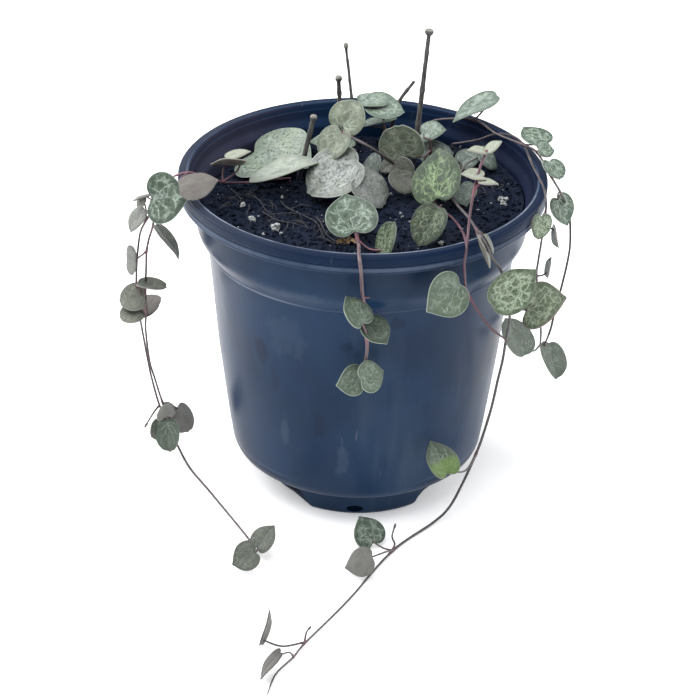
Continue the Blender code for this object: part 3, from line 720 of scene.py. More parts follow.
def buildPerlite(look, rand):
    perlite = makePerlite(look)
    grains = []
    for index, (x, y, size) in enumerate(look["perlite"]):
        clearSelection()
        place = Vector((x, y, soilTop(x, y) + 0.32 * size))
        bpy.ops.mesh.primitive_ico_sphere_add(subdivisions=4, radius=0.5 * size * mm, location=place * mm)
        grain = bpy.context.object
        applyPlace(grain)
        roughen(grain, 0.55 * size, 0.55 * size, index * 3.7)
        roughen(grain, 0.16 * size, 0.2 * size, index)
        grains.append(grain)
    joined = joinPieces("perliteGrains", grains)
    joined.data.materials.append(perlite)
    smoothShading(joined, 60)
    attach(joined, "root")

    places = []
    for _ in range(look["specks"]):
        x, y = placeOnSoil(rand, look["reach"])
        size = rand.uniform(*look["speckSizes"])
        turn = Vector((rand.uniform(-1, 1), rand.uniform(-1, 1), 1)).to_track_quat("Z", "Y")
        places.append(((x, y, soilTop(x, y) + 0.4 * size), size, turn))
    scatterCrumbs("perliteDust", places, perlite, 4, 0.8)


def mainRoot(look, points, arch, rand):
    last = len(points) - 1
    lifted = []
    for k, (x, y) in enumerate(points):
        rise = arch * math.sin(math.pi * min(1.0, (k + 0.35) / (last + 0.7)))
        lifted.append((x, y, soilTop(x, y) + 0.1 + rise * (0.5 + 0.5 * (k % 2))))
    path = smoothPath(lifted, 0.9)
    taper = [1.0 - 0.6 * k / len(path) for k in range(len(path))]
    return path, [look["rootRadius"] * share * rand.uniform(0.8, 1.2) for share in taper]


def rootlet(look, start, rand):
    turn = rand.uniform(0.0, math.tau)
    reach = rand.uniform(*look["rootletReach"])
    end = start + Vector((reach * math.cos(turn), reach * math.sin(turn), 0.0))
    end.z = soilTop(end.x, end.y) - 0.1
    middle = 0.5 * (start + end) + Vector((rand.uniform(-0.6, 0.6), rand.uniform(-0.6, 0.6), 0.5))
    path = smoothPath([start, middle, end], 0.9)
    return path, [look["rootletRadius"]] * len(path)


def fibre(look, x, y, rand):
    # wanders over the soil with its ends in it, and stops at the wall
    turn = rand.uniform(0.0, math.tau)
    points = []
    for k in range(5):
        points.append((x, y, soilTop(x, y) + (0.9 if 0 < k < 4 else -0.3)))
        turn += rand.uniform(-0.8, 0.8)
        x += look["fibreStep"] * math.cos(turn)
        y += look["fibreStep"] * math.sin(turn)
        if math.hypot(x, y) > look["reach"]:
            break
    return points


def buildRoots(look, rand):
    runs = []
    for points, arch in look["mainRoots"]:
        path, radii = mainRoot(look, points, arch, rand)
        runs.append((path, radii))
        for k in range(3, len(path) - 3, 4):
            runs.append(rootlet(look, path[k], rand))
    for centreX, centreY, spread, count in look["fibres"]:
        for _ in range(count):
            x = centreX + rand.gauss(0.0, 0.5) * spread
            y = centreY + rand.gauss(0.0, 0.5) * spread
            points = fibre(look, x, y, rand)
            if len(points) > 2:
                path = smoothPath(points, 0.8)
                runs.append((path, [rand.uniform(*look["fibreRadii"])] * len(path)))
    roots = tubesAlong("fineRoots", runs, 6)
    roots.data.materials.append(makeRootMaterial(look, "dryRoot", look["rootDark"], look["rootPale"]))
    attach(roots, "root")


def buildHusk(look):
    # torn papery flakes at the foot of the front shoot
    flakes = []
    for index, (x, y, turn, size) in enumerate(look["huskFlakes"]):
        clearSelection()
        bpy.ops.mesh.primitive_grid_add(x_subdivisions=10, y_subdivisions=6, size=1.0)
        flake = bpy.context.object
        spin = Matrix.Rotation(turn, 3, "Z") @ Matrix.Rotation(0.6, 3, "X")
        base = Vector((x, y, soilHeight(x, y) + 1.5 + 0.25 * index))
        for vertex in flake.data.vertices:
            u, v = vertex.co.x, vertex.co.y
            ragged = 0.75 + 0.5 * noise.noise(Vector((u * 5.0, index, 0.0)))
            bent = Vector((u * 1.6, v * 0.8 * ragged, 1.1 * v * v - 0.9 * u * u
                           + 0.2 * noise.noise(Vector((u, v, index)) * 3.0)))
            vertex.co = (base + spin @ bent * size) * mm
        applyModifier(flake, "skin", "SOLIDIFY", thickness=0.14 * mm, offset=0.0)
        flakes.append(flake)
    husk = joinPieces("tornHusk", flakes)
    husk.data.materials.append(makeRootMaterial(look, "paperyHusk", look["huskDark"], look["husk"]))
    smoothShading(husk, 50)
    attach(husk, "root")


buildSoil(soil)
trimRandom = random.Random(trim["seed"])
buildPerlite(trim, trimRandom)
buildRoots(trim, trimRandom)
buildHusk(trim)
print("soil, perlite and roots are made")


# leaf finishes

def seededPlace(tree, place, seed, stride):
    # the seed moves the pattern along its third axis, so that no two leaves are alike
    depth = addNode(tree, "ShaderNodeCombineXYZ", {2: times(tree, seed, stride)}).outputs[0]
    return vectorCalc(tree, "ADD", place, depth)


def shaken(tree, place, source, scale, detail, amount):
    # places pushed about by a coloured noise, so that lines drawn there waver
    push = addNode(tree, "ShaderNodeTexNoise", {"Vector": source, "Scale": scale, "Detail": detail}).outputs[1]
    push = vectorCalc(tree, "SUBTRACT", push, (0.5, 0.5, 0.5))
    push = vectorCalc(tree, "MULTIPLY", push, (amount, amount, amount))
    return vectorCalc(tree, "ADD", place, push)


def makeVeinGroup():
    inputs = [("Leaf Map", "NodeSocketVector", None), ("Seed", "NodeSocketFloat", 0.0),
              ("Cells", "NodeSocketFloat", 7.0), ("Line Width", "NodeSocketFloat", 0.12),
              ("Cover", "NodeSocketFloat", 0.5), ("Main", "NodeSocketFloat", 0.6),
              ("Rim", "NodeSocketFloat", 0.0)]
    group, given, result = newGroup("marbledVeins", inputs, ["Lines", "Main Veins", "Height"])
    middle = vectorCalc(group, "SUBTRACT", given["Leaf Map"], (0.5, 0.5, 0.0))
    seeded = seededPlace(group, middle, given["Seed"], 9.0)
    # a slow swirl, and a finer shiver that makes every line ragged
    bent = shaken(group, seeded, seeded, 4.2, 2.0, 0.20)
    bent = shaken(group, bent, seeded, 15.0, 3.0, 0.085)
    x, y, _ = addNode(group, "ShaderNodeSeparateXYZ", {0: bent}).outputs
    # main veins fan out from the leaf stalk and curve towards the tip
    along = calc(group, "ADD", x, 0.36)
    across = calc(group, "ABSOLUTE", y)
    away = distance(group, along, across)
    fan = calc(group, "DIVIDE", calc(group, "ARCTAN2", across, along), timesPlus(group, away, -0.5, 1.0))
    beside = times(group, calc(group, "PINGPONG", fan, 0.33), away)
    main = times(group, fade(group, beside, 0.004, 0.024, 1.0, 0.0), fade(group, away, 0.72, 0.5, 0.25, 1.0),
                 given["Main"])
    # a coarse and a fine net of lines
    gaps, nets = [], []
    for fineness, width in ((1.0, 1.0), (2.3, 0.8)):
        sockets = {"Vector": bent, "Scale": times(group, given["Cells"], fineness)}
        gaps.append(addNode(group, "ShaderNodeTexVoronoi", sockets, feature="DISTANCE_TO_EDGE").outputs[0])
        nets.append(fade(group, gaps[-1], 0.0, times(group, given["Line Width"], width), 1.0, 0.0))
    lines = calc(group, "MAXIMUM", nets[0], times(group, nets[1], 0.4))
    # pale freckles gather beside the lines
    freckles = fade(group, noiseAt(group, bent, 34.0, 2.0), 0.50, 0.60, 0.0, 0.8)
    nearLine = fade(group, gaps[0], 0.0, times(group, given["Line Width"], 2.8), 1.0, 0.0)
    lines = calc(group, "MAXIMUM", lines, times(group, freckles, nearLine))
    cover = calc(group, "ADD", noiseAt(group, bent, 6.0, 3.0, 0.6), given["Cover"])
    lines = times(group, lines, fade(group, cover, 0.75, 1.15))
    broken = fade(group, noiseAt(group, bent, 11.0, 2.0), 0.32, 0.62, 0.35, 1.0)
    lines = calc(group, "MAXIMUM", lines, times(group, main, broken))
    lines = times(group, lines, fade(group, given["Rim"], 0.70, 0.95, 1.0, 0.35))
    group.links.new(lines, result["Lines"])
    group.links.new(main, result["Main Veins"])
    group.links.new(timesPlus(group, main, -1.0, times(group, nets[0], -0.35)), result["Height"])
    return group


def makeSpotGroup():
    inputs = [("Leaf Map", "NodeSocketVector", None), ("Seed", "NodeSocketFloat", 0.0),
              ("Fineness", "NodeSocketFloat", 16.0), ("Amount", "NodeSocketFloat", 0.5)]
    group, given, result = newGroup("leafSpots", inputs, ["Spots", "Wrinkles"])
    seeded = seededPlace(group, given["Leaf Map"], given["Seed"], 7.0)
    dots = noiseAt(group, seeded, given["Fineness"], 3.0, 0.62)
    limit = timesPlus(group, given["Amount"], -0.16, 0.70)
    group.links.new(fade(group, dots, limit, calc(group, "ADD", limit, 0.05)), result["Spots"])
    sockets = {"Vector": seeded, "Scale": 9.0, "Randomness": 1.0}
    folds = addNode(group, "ShaderNodeTexVoronoi", sockets, feature="SMOOTH_F1").outputs[0]
    group.links.new(folds, result["Wrinkles"])
    return group


veinGroup = makeVeinGroup()
spotGroup = makeSpotGroup()

# deep: body colour, silver: marbling, cells: fineness of the marbling, width: of its lines, cover: how far
# it spreads, main: strength of the main veins, spots: amount, fineness and colour of dark spots,
# under: one of the undersides below, mauveUnder where none is named
leafLooks = {
    "marbled": {"deep": (0.050, 0.088, 0.057), "silver": (0.360, 0.440, 0.370), "cells": 4.6, "width": 0.15,
                "cover": 0.48, "main": 1.0, "edge": (0.26, 0.31, 0.27)},
    "veined": {"deep": (0.064, 0.098, 0.070), "silver": (0.280, 0.335, 0.280), "cells": 5.0, "width": 0.10,
               "cover": 0.32, "main": 1.0, "edge": (0.17, 0.19, 0.16)},
    "fresh": {"deep": (0.043, 0.078, 0.036), "silver": (0.350, 0.425, 0.310), "cells": 7.5, "width": 0.19,
              "cover": 0.66, "main": 0.8, "edge": (0.15, 0.18, 0.13)},
    "dusk": {"deep": (0.108, 0.120, 0.098), "silver": (0.225, 0.245, 0.210), "cells": 5.5, "width": 0.12,
             "cover": 0.42, "main": 0.7, "edge": (0.21, 0.215, 0.19)},
    "soft": {"deep": (0.092, 0.132, 0.096), "silver": (0.250, 0.315, 0.258), "cells": 4.6, "width": 0.17,
             "cover": 0.44, "main": 1.0, "edge": (0.27, 0.32, 0.27)},
    "bronze": {"deep": (0.072, 0.096, 0.060), "silver": (0.300, 0.345, 0.260), "cells": 7.5, "width": 0.15,
               "cover": 0.54, "main": 0.8, "edge": (0.19, 0.15, 0.15)},
    "umber": {"deep": (0.064, 0.061, 0.055), "silver": (0.110, 0.106, 0.096), "cells": 6.0, "width": 0.14,
              "cover": 0.46, "main": 0.6, "edge": (0.09, 0.085, 0.08)},
    "slate": {"deep": (0.062, 0.075, 0.059), "silver": (0.155, 0.172, 0.145), "cells": 6.0, "width": 0.14,
              "cover": 0.46, "main": 0.6, "edge": (0.12, 0.13, 0.11)},
    "yellowed": {"deep": (0.052, 0.088, 0.056), "silver": (0.280, 0.350, 0.260), "cells": 5.5, "width": 0.13,
                 "cover": 0.46, "main": 0.9, "edge": (0.17, 0.21, 0.12), "under": "greenUnder",
                 "baseTint": (0.150, 0.260, 0.045)},
    "olive": {"deep": (0.122, 0.148, 0.110), "silver": (0.270, 0.310, 0.240), "cells": 5.0, "width": 0.20,
              "cover": 0.50, "main": 0.7, "edge": (0.22, 0.25, 0.20), "under": "greenUnder"},
    "sage": {"deep": (0.200, 0.252, 0.206), "silver": (0.320, 0.370, 0.320), "cells": 9.0, "width": 0.28,
             "cover": 0.40, "main": 0.2, "spots": 1.05, "spotColour": (0.050, 0.080, 0.055), "fineness": 26.0,
             "edge": (0.25, 0.30, 0.25), "under": "greenUnder", "ripple": 0.026},
    "frosted": {"deep": (0.150, 0.168, 0.156), "silver": (0.285, 0.305, 0.293), "cells": 13.0, "width": 0.35,
                "cover": 0.50, "main": 0.1, "spots": 1.0, "spotColour": (0.055, 0.068, 0.060),
                "fineness": 21.0, "edge": (0.24, 0.26, 0.24), "under": "greenUnder", "ripple": 0.026},
    "paleMarbled": {"deep": (0.100, 0.148, 0.116), "silver": (0.320, 0.380, 0.330), "cells": 6.5,
                    "width": 0.24, "cover": 0.52, "main": 0.6, "spots": 0.3, "spotColour": (0.08, 0.12, 0.09),
                    "fineness": 14.0, "edge": (0.20, 0.25, 0.21), "under": "greenUnder"},
    "cream": {"deep": (0.205, 0.235, 0.205), "silver": (0.300, 0.330, 0.295), "cells": 6.0, "width": 0.35,
              "cover": 0.42, "main": 0.2, "spots": 0.7, "spotColour": (0.13, 0.165, 0.13), "fineness": 18.0,
              "edge": (0.20, 0.23, 0.19), "under": "greenUnder", "broad": 0.62, "fill": 1.0, "taper": 0.5},
    "limeMarbled": {"deep": (0.018, 0.044, 0.022), "silver": (0.290, 0.400, 0.205), "cells": 7.5,
                    "width": 0.15, "cover": 0.42, "main": 0.8, "spots": 0.3, "spotColour": (0.03, 0.05, 0.028),
                    "fineness": 14.0, "edge": (0.10, 0.13, 0.08)},
    "streaky": {"deep": (0.016, 0.040, 0.016), "silver": (0.340, 0.430, 0.270), "cells": 9.0, "width": 0.13,
                "cover": 0.48, "main": 0.6, "spots": 0.4, "spotColour": (0.025, 0.042, 0.026),
                "fineness": 15.0, "edge": (0.10, 0.13, 0.10)},
    "seaMarbled": {"deep": (0.056, 0.080, 0.069), "silver": (0.220, 0.268, 0.242), "cells": 9.0, "width": 0.24,
                   "cover": 0.5, "main": 0.4, "spots": 0.6, "spotColour": (0.038, 0.055, 0.047),
                   "fineness": 19.0, "edge": (0.16, 0.20, 0.17), "under": "greenUnder"},
    "whitish": {"deep": (0.270, 0.300, 0.245), "silver": (0.400, 0.430, 0.365), "cells": 5.0, "width": 0.3,
                "cover": 0.45, "main": 0.4, "spots": 0.6, "spotColour": (0.15, 0.19, 0.13), "fineness": 12.0,
                "edge": (0.28, 0.27, 0.23), "under": "beigeUnder"},
    "silver": {"deep": (0.160, 0.176, 0.162), "silver": (0.275, 0.292, 0.270), "cells": 6.5, "width": 0.16,
               "cover": 0.45, "main": 0.5, "spots": 0.4, "spotColour": (0.10, 0.11, 0.10), "fineness": 16.0,
               "edge": (0.20, 0.20, 0.18), "under": "roseUnder"},
}

undersides = {
    "mauveUnder": {"base": (0.150, 0.138, 0.124), "blush": (0.125, 0.100, 0.096), "vein": (0.21, 0.195, 0.17)},
    "beigeUnder": {"base": (0.320, 0.300, 0.262), "blush": (0.260, 0.230, 0.200), "vein": (0.38, 0.36, 0.32)},
    "greenUnder": {"base": (0.170, 0.195, 0.155), "blush": (0.150, 0.150, 0.130), "vein": (0.24, 0.26, 0.21)},
    "roseUnder": {"base": (0.132, 0.125, 0.114), "blush": (0.108, 0.093, 0.086), "vein": (0.21, 0.20, 0.18)},
    "greyUnder": {"base": (0.250, 0.252, 0.230), "blush": (0.205, 0.198, 0.182), "vein": (0.33, 0.33, 0.30)},
}

leafSkin = {
    "roughness": 0.48, "underRoughness": 0.55, "pores": 150.0, "veinDepth": 0.25, "gloss": 0.42,
    # light that sinks into the flesh: share, reach of each colour, depth
    "sink": 0.12, "sinkReach": (0.8, 1.0, 0.5), "sinkDepth": 0.6,
    # lightness of a leaf with tone 0, and how much a tone of 1 adds
    "darkest": 0.6, "toneSpan": 0.8,
}


def leafInputs(tree):
    # the leaf's own map and its painted values: seed, tone and nearness to the edge
    chart = addNode(tree, "ShaderNodeUVMap", uv_map="leafMap").outputs[0]
    painted = addNode(tree, "ShaderNodeAttribute", attribute_name="leafData").outputs["Color"]
    values = addNode(tree, "ShaderNodeSeparateColor", {0: painted}).outputs
    return chart, values[0], values[1], values[2]


def finishLeafShader(shader):
    shader.inputs["Specular IOR Level"].default_value = leafSkin["gloss"]
    shader.inputs["Subsurface Weight"].default_value = leafSkin["sink"]
    shader.inputs["Subsurface Radius"].default_value = leafSkin["sinkReach"]
    shader.inputs["Subsurface Scale"].default_value = leafSkin["sinkDepth"] * mm


def toned(tree, colour, toneAndLight):
    # the tone lightens or darkens the whole leaf: partly its own lightness, partly painted light and shade for
    # how the leaf is lit
    shade = timesPlus(tree, toneAndLight, leafSkin["toneSpan"], leafSkin["darkest"])
    grey = addNode(tree, "ShaderNodeCombineColor", {0: shade, 1: shade, 2: shade}).outputs[0]
    return mixColour(tree, 1.0, colour, grey, "MULTIPLY")


def makeUpperSkin(name, look):
    material, tree, shader = newMaterial(name + "Leaf")
    chart, seed, toneAndLight, edge = leafInputs(tree)
    veins = useGroup(tree, veinGroup, {"Leaf Map": chart, "Seed": seed, "Cells": look["cells"],
                                       "Line Width": look["width"], "Cover": look["cover"],
                                       "Main": look["main"], "Rim": edge})
    broad = noiseAt(tree, chart, 3.2, 3.0)
    pores = noiseAt(tree, chart, leafSkin["pores"], 2.0)
    height = timesPlus(tree, pores, 0.25, veins["Height"])
    deep = Vector(look["deep"])
    warm = (deep.x * 1.12, deep.y * 1.08, deep.z * 0.95)
    colour = mixColour(tree, fade(tree, broad, 0.35, 0.7), deep * 0.80, warm)
    colour = mixColour(tree, veins["Lines"], colour, look["silver"])
    if "spots" in look:
        spots = useGroup(tree, spotGroup, {"Leaf Map": chart, "Seed": seed, "Fineness": look["fineness"],
                                           "Amount": look["spots"]})
        colour = mixColour(tree, times(tree, spots["Spots"], 0.8), colour, look["spotColour"])
        height = timesPlus(tree, spots["Wrinkles"], look["spots"], height)
    if "baseTint" in look:
        # the half by the leaf stalk turns yellow
        along = addNode(tree, "ShaderNodeSeparateXYZ", {0: chart}).outputs[0]
        along = timesPlus(tree, broad, 0.3, along)
        colour = mixColour(tree, fade(tree, along, 0.66, 0.50, 0.0, 0.75), colour, look["baseTint"])
    # thin darker line, then the pale margin
    colour = mixColour(tree, times(tree, fade(tree, edge, 0.80, 0.90), 0.25), colour, deep * 0.7)
    colour = mixColour(tree, fade(tree, edge, 0.955, 0.995), colour, look["edge"])
    rough = timesPlus(tree, pores, 0.18, leafSkin["roughness"] - 0.09)
    rough = timesPlus(tree, veins["Lines"], 0.08, rough)
    finishSkin(tree, shader, toned(tree, colour, toneAndLight), rough, height, leafSkin["veinDepth"], 0.8)
    finishLeafShader(shader)
    return material


def makeUnderSkin(name, look):
    material, tree, shader = newMaterial(name)
    chart, seed, toneAndLight, _ = leafInputs(tree)
    veins = useGroup(tree, veinGroup, {"Leaf Map": chart, "Seed": seed, "Cells": 6.0,
                                       "Line Width": 0.09, "Cover": 0.3})
    broad = noiseAt(tree, chart, 4.0, 3.0)
    pores = noiseAt(tree, chart, leafSkin["pores"], 2.0)
    colour = mixColour(tree, fade(tree, broad, 0.35, 0.68), look["base"], look["blush"])
    colour = mixColour(tree, times(tree, veins["Lines"], 0.6), colour, look["vein"])
    rough = timesPlus(tree, pores, 0.2, leafSkin["underRoughness"] - 0.1)
    height = timesPlus(tree, pores, 0.3, veins["Height"])
    finishSkin(tree, shader, toned(tree, colour, toneAndLight), rough, height, leafSkin["veinDepth"], 0.6)
    finishLeafShader(shader)
    return material


def makeEdgeSkin(name, colour):
    material, tree, shader = newMaterial(name + "Edge")
    fine = noiseAt(tree, objectPlace(tree), 900.0, 3.0)
    pale = Vector(colour)
    mixed = mixColour(tree, fine, pale * 0.75, pale * 1.1)
    finishSkin(tree, shader, mixed, timesPlus(tree, fine, 0.2, 0.4), fine, 0.08)
    return material


underSkins = {name: makeUnderSkin(name, look) for name, look in undersides.items()}
leafSkins = {}
for lookName, look in leafLooks.items():
    leafSkins[lookName] = (makeUpperSkin(lookName, look), makeEdgeSkin(lookName, look["edge"]))


# stem finishes

stemLooks = {
    "brown": {"dark": (0.048, 0.040, 0.044), "light": (0.115, 0.092, 0.098), "node": (0.150, 0.075, 0.088),
              "petiole": (0.130, 0.092, 0.098), "low": (0.052, 0.050, 0.048)},
    "rose": {"dark": (0.085, 0.038, 0.052), "light": (0.205, 0.100, 0.130), "node": (0.160, 0.065, 0.080),
             "petiole": (0.180, 0.085, 0.108), "low": (0.052, 0.050, 0.048)},
    "wine": {"dark": (0.050, 0.018, 0.029), "light": (0.105, 0.040, 0.062), "node": (0.240, 0.045, 0.090),
             "petiole": (0.140, 0.055, 0.080), "low": (0.075, 0.036, 0.050)},
    "pink": {"dark": (0.085, 0.050, 0.062), "light": (0.160, 0.105, 0.120), "node": (0.270, 0.070, 0.105),
             "petiole": (0.250, 0.100, 0.130), "low": (0.115, 0.088, 0.098)},
    "pale": {"dark": (0.110, 0.085, 0.085), "light": (0.200, 0.160, 0.152), "node": (0.200, 0.120, 0.125),
             "petiole": (0.200, 0.160, 0.152), "low": (0.110, 0.085, 0.085)},
}


def makeStemSkin(name, look, light):
    material, tree, shader = newMaterial(name)
    place = objectPlace(tree)
    x, y, z = coordinates(tree, place)
    painted = addNode(tree, "ShaderNodeAttribute", attribute_name="nodeGlow").outputs["Fac"]
    patch = noiseAt(tree, place, 130.0, 3.0)
    fine = noiseAt(tree, place, 1500.0, 3.0, 0.65)
    colour = mixColour(tree, fade(tree, patch, 0.35, 0.68), look["dark"], light)
    colour = mixColour(tree, times(tree, fade(tree, fine, 0.48, 0.7), 0.35), colour, light)
    # the stem has lost its blush where it is old: below the rim and away from the pot
    old = calc(tree, "MAXIMUM", fade(tree, z, 108, 85), fade(tree, distance(tree, x, y), 66, 70))
    colour = mixColour(tree, times(tree, old, 0.75), colour, look["low"])
    colour = mixColour(tree, times(tree, painted, 0.6), colour, look["node"])
    finishSkin(tree, shader, colour, timesPlus(tree, fine, 0.25, 0.35), fine, 0.12)
    return material


stemSkins = {}
for lookName, look in stemLooks.items():
    stemSkins[lookName] = (makeStemSkin(lookName + "Stem", look, look["light"]),
                           makeStemSkin(lookName + "LeafStalk", look, look["petiole"]))


# leaves and vines

leafForm = {
    "corners": 40, "ringSteps": (0.945, 0.90, 0.84, 0.76, 0.62, 0.45), "crowding": 0.22,
    "width": 1.05, "fold": 0.13, "droop": 0.16, "thickness": 0.95, "edgeThinness": 0.42, "groove": 0.012,
    # waves of the edge, and how far a leaf may cup or twist
    "ripple": 0.012, "cup": (-0.02, 0.03), "twist": (-0.05, 0.05),
    "stalkRadius": 0.36, "stalkTaper": 0.8, "stalkSink": 0.9, "stalkBow": 0.12, "stalkSwell": 0.3,
    # stems: length of each piece, depth in the soil, rise before they bend, swelling at a leaf joint
    "stemStep": 1.6, "rootDepth": 8.6, "stemRise": 1.8, "jointSwell": 0.3, "jointLength": 1.3,
    "wander": 0.06, "blushLength": 2.6,
    # stems that lie on the table: how high their middle is in the tables below, and from where they come down
    "lyingHeight": 1.2, "liftOff": 4.5,
}


def heartRadius(angle):
    # rounded lobes, a notch where the leaf stalk joins and a drawn-out tip at angle 0
    turn = abs(angle)
    tip = 0.24 * max(0.0, 1.0 - turn / 0.75) ** 1.7 + 0.10 * max(0.0, 1.0 - turn / 0.13)
    notch = 0.34 * math.exp(-((math.pi - turn) / 0.34) ** 2)
    lobe = 0.05 * math.exp(-((turn - 2.2) / 0.5) ** 2)
    return 1.0 + tip - notch + lobe


def heartBox():
    turns = [math.radians(2 * k) for k in range(-90, 91)]
    xs = [heartRadius(a) * math.cos(a) for a in turns]
    ys = [heartRadius(a) * math.sin(a) for a in turns]
    return min(xs), max(xs) - min(xs), max(ys) - min(ys)


heartLow, heartLength, heartWidth = heartBox()
heartHub = -heartLow / heartLength - 0.5


def heartPoint(angle):
    # unit heart: length 1 along x with the tip at +0.5, width 1 along y
    radius = heartRadius(angle)
    return (radius * math.cos(angle) - heartLow) / heartLength - 0.5, radius * math.sin(angle) / heartWidth


def bladeHeight(x, y):
    fold, droop = leafForm["fold"], leafForm["droop"]
    return fold * abs(y) - droop * max(0.0, x) ** 2 - 0.2 * fold


def edgeNearness(x, y):
    # 1 on the outline and 0 at the hub
    angle = math.atan2(y * heartWidth, (x - heartHub) * heartLength)
    edgeX, edgeY = heartPoint(angle)
    reach = math.hypot(edgeX - heartHub, edgeY)
    return min(1.0, math.hypot(x - heartHub, y) / reach)


def makeFlatHeart(form):
    # a circle pulled into a heart, drawn inwards ring by ring
    clearSelection()
    bpy.ops.mesh.primitive_circle_add(vertices=form["corners"], radius=0.5, fill_type="NOTHING")
    heart = bpy.context.object
    heart.name = "flatHeart"
    for vertex in heart.data.vertices:
        # the corners crowd at the tip and at the notch
        turn = math.atan2(vertex.co.y, vertex.co.x)
        x, y = heartPoint(turn - form["crowding"] * math.sin(2.0 * turn))
        vertex.co = (x, y, 0.0)
    bpy.ops.object.mode_set(mode="EDIT")
    bpy.ops.mesh.select_all(action="SELECT")
    for shrink in form["ringSteps"]:
        bpy.ops.mesh.extrude_edges_move()
        bpy.ops.transform.resize(value=(shrink, shrink, 1.0), center_override=(heartHub, 0.0, 0.0))
    bpy.ops.mesh.extrude_edges_move()
    bpy.ops.mesh.merge(type="CENTER")
    bpy.ops.object.mode_set(mode="OBJECT")
    closeMesh(heart, 0.01)
    # the map is laid flat on the leaf
    chart = heart.data.uv_layers.new(name="leafMap")
    for loop in heart.data.loops:
        co = heart.data.vertices[loop.vertex_index].co
        chart.data[loop.index].uv = (co.x + 0.5, co.y + 0.5)
    if sum(p.normal.z for p in heart.data.polygons) < 0:
        heart.data.flip_normals()
    return heart


def leafAxes(azimuth, elevation, clock):
    azimuth, elevation, clock = (math.radians(a) for a in (azimuth, elevation, clock))
    upFace = Vector((math.sin(azimuth) * math.cos(elevation), -math.cos(azimuth) * math.cos(elevation),
                     math.sin(elevation)))
    level = Vector((math.cos(azimuth), math.sin(azimuth), 0.0))
    tip = level * math.cos(clock) + upFace.cross(level) * math.sin(clock)
    return tip, upFace.cross(tip), upFace


def placeBlade(flatHeart, leaf, rand, form):
    x, y, z, length, *angles = leaf[:7]
    look, toneAndLight = leaf[9:11]
    # a leaf can have its own breadth, taper towards the base, filled notch, blunt tip, ripple and underside
    shape = {"broad": form["width"], "taper": 0.0, "fill": 0.0, "blunt": 0.0, "ripple": form["ripple"],
             "under": "mauveUnder"}
    for source in (leafLooks[look], *leaf[11:]):
        shape.update({key: source[key] for key in shape if key in source})
    tip, side, upFace = leafAxes(*angles)
    blade = flatHeart.copy()
    blade.data = flatHeart.data.copy()
    bpy.context.scene.collection.objects.link(blade)
    thick = blade.vertex_groups.new(name="thick")
    seed = rand.random()
    phase = rand.uniform(0.0, math.tau)
    cup = rand.uniform(*form["cup"])
    twist = rand.uniform(*form["twist"])
    paint = []
    for vertex in blade.data.vertices:
        u, v = vertex.co.x, vertex.co.y
        near = edgeNearness(u, v)
        angle = math.atan2(v, u - heartHub)
        height = bladeHeight(u, v) - form["groove"] * math.exp(-(v / 0.05) ** 2) * (1.0 - near)
        height += (shape["ripple"] * math.sin(3.0 * angle + phase) * near ** 3
                   + cup * near * near + twist * u * v)
        height += 0.5 * shape["ripple"] * noise.noise(Vector((u * 5.0, v * 5.0, seed * 20.0)))
        breadth = shape["broad"] * (1.0 + shape["taper"] * u)
        u -= 0.15 * shape["fill"] * math.exp(-((math.pi - abs(angle)) / 0.42) ** 2) * near ** 3
        u -= 0.105 * shape["blunt"] * math.exp(-(angle / 0.27) ** 2) * near ** 3
        vertex.co = (Vector((x, y, z)) + length * (u * tip + breadth * v * side + height * upFace)) * mm
        paint += [seed, toneAndLight, near, 1.0]
        thick.add([vertex.index], 1.0 - near ** 5, "REPLACE")
    blade.data.attributes.new("leafData", "FLOAT_COLOR", "POINT").data.foreach_set("color", paint)
    upper, edge = leafSkins[look]
    blade.data.materials.clear()
    for skin in (upper, underSkins[shape["under"]], edge):
        blade.data.materials.append(skin)
    applyModifier(blade, "flesh", "SOLIDIFY", thickness=form["thickness"] * mm, offset=0.0,
                  vertex_group="thick", thickness_vertex_group=form["edgeThinness"],
                  material_offset=1, material_offset_rim=2, use_even_offset=False)
    applyModifier(blade, "round", "SUBSURF", levels=1, render_levels=1)
    smoothShading(blade, 180)
    blade.vertex_groups.clear()
    return blade


def leafStalk(joint, leaf, form):
    # from the joint on the stem to just inside the notch of the leaf
    x, y, z, length, *angles = leaf[:7]
    tip, _, upFace = leafAxes(*angles)
    notch = heartPoint(math.pi)[0]
    foot = Vector((x, y, z)) + (notch * length + form["stalkSink"]) * tip
    foot += bladeHeight(notch, 0.0) * length * upFace
    reach = foot - joint
    middle = joint + 0.5 * reach - form["stalkBow"] * reach.length * tip
    path = smoothPath([joint, middle, foot], 0.9)
    last = len(path) - 1
    radii = []
    for i in range(last + 1):
        t = i / last
        swell = form["stalkSwell"] * math.exp(-(t / 0.12) ** 2)
        radii.append(form["stalkRadius"] * (1.0 - (1.0 - form["stalkTaper"]) * t + swell))
    return path, radii


def paintNodes(thing, joints, form):
    # how near each point of the stem is to a leaf joint
    glow = []
    for vertex in thing.data.vertices:
        co = vertex.co / mm
        nearest = min((co - joint).length for joint in joints)
        glow.append(math.exp(-(nearest / form["blushLength"]) ** 2))
    thing.data.attributes.new("nodeGlow", "FLOAT", "POINT").data.foreach_set("value", glow)


def settle(path, radius, form):
    # a thin stem sinks until it lies on the table
    for place in path:
        share = max(0.0, form["liftOff"] - place.z) / (form["liftOff"] - form["lyingHeight"])
        place.z -= min(1.0, share) * (form["lyingHeight"] - 1.35 * radius - 0.05)


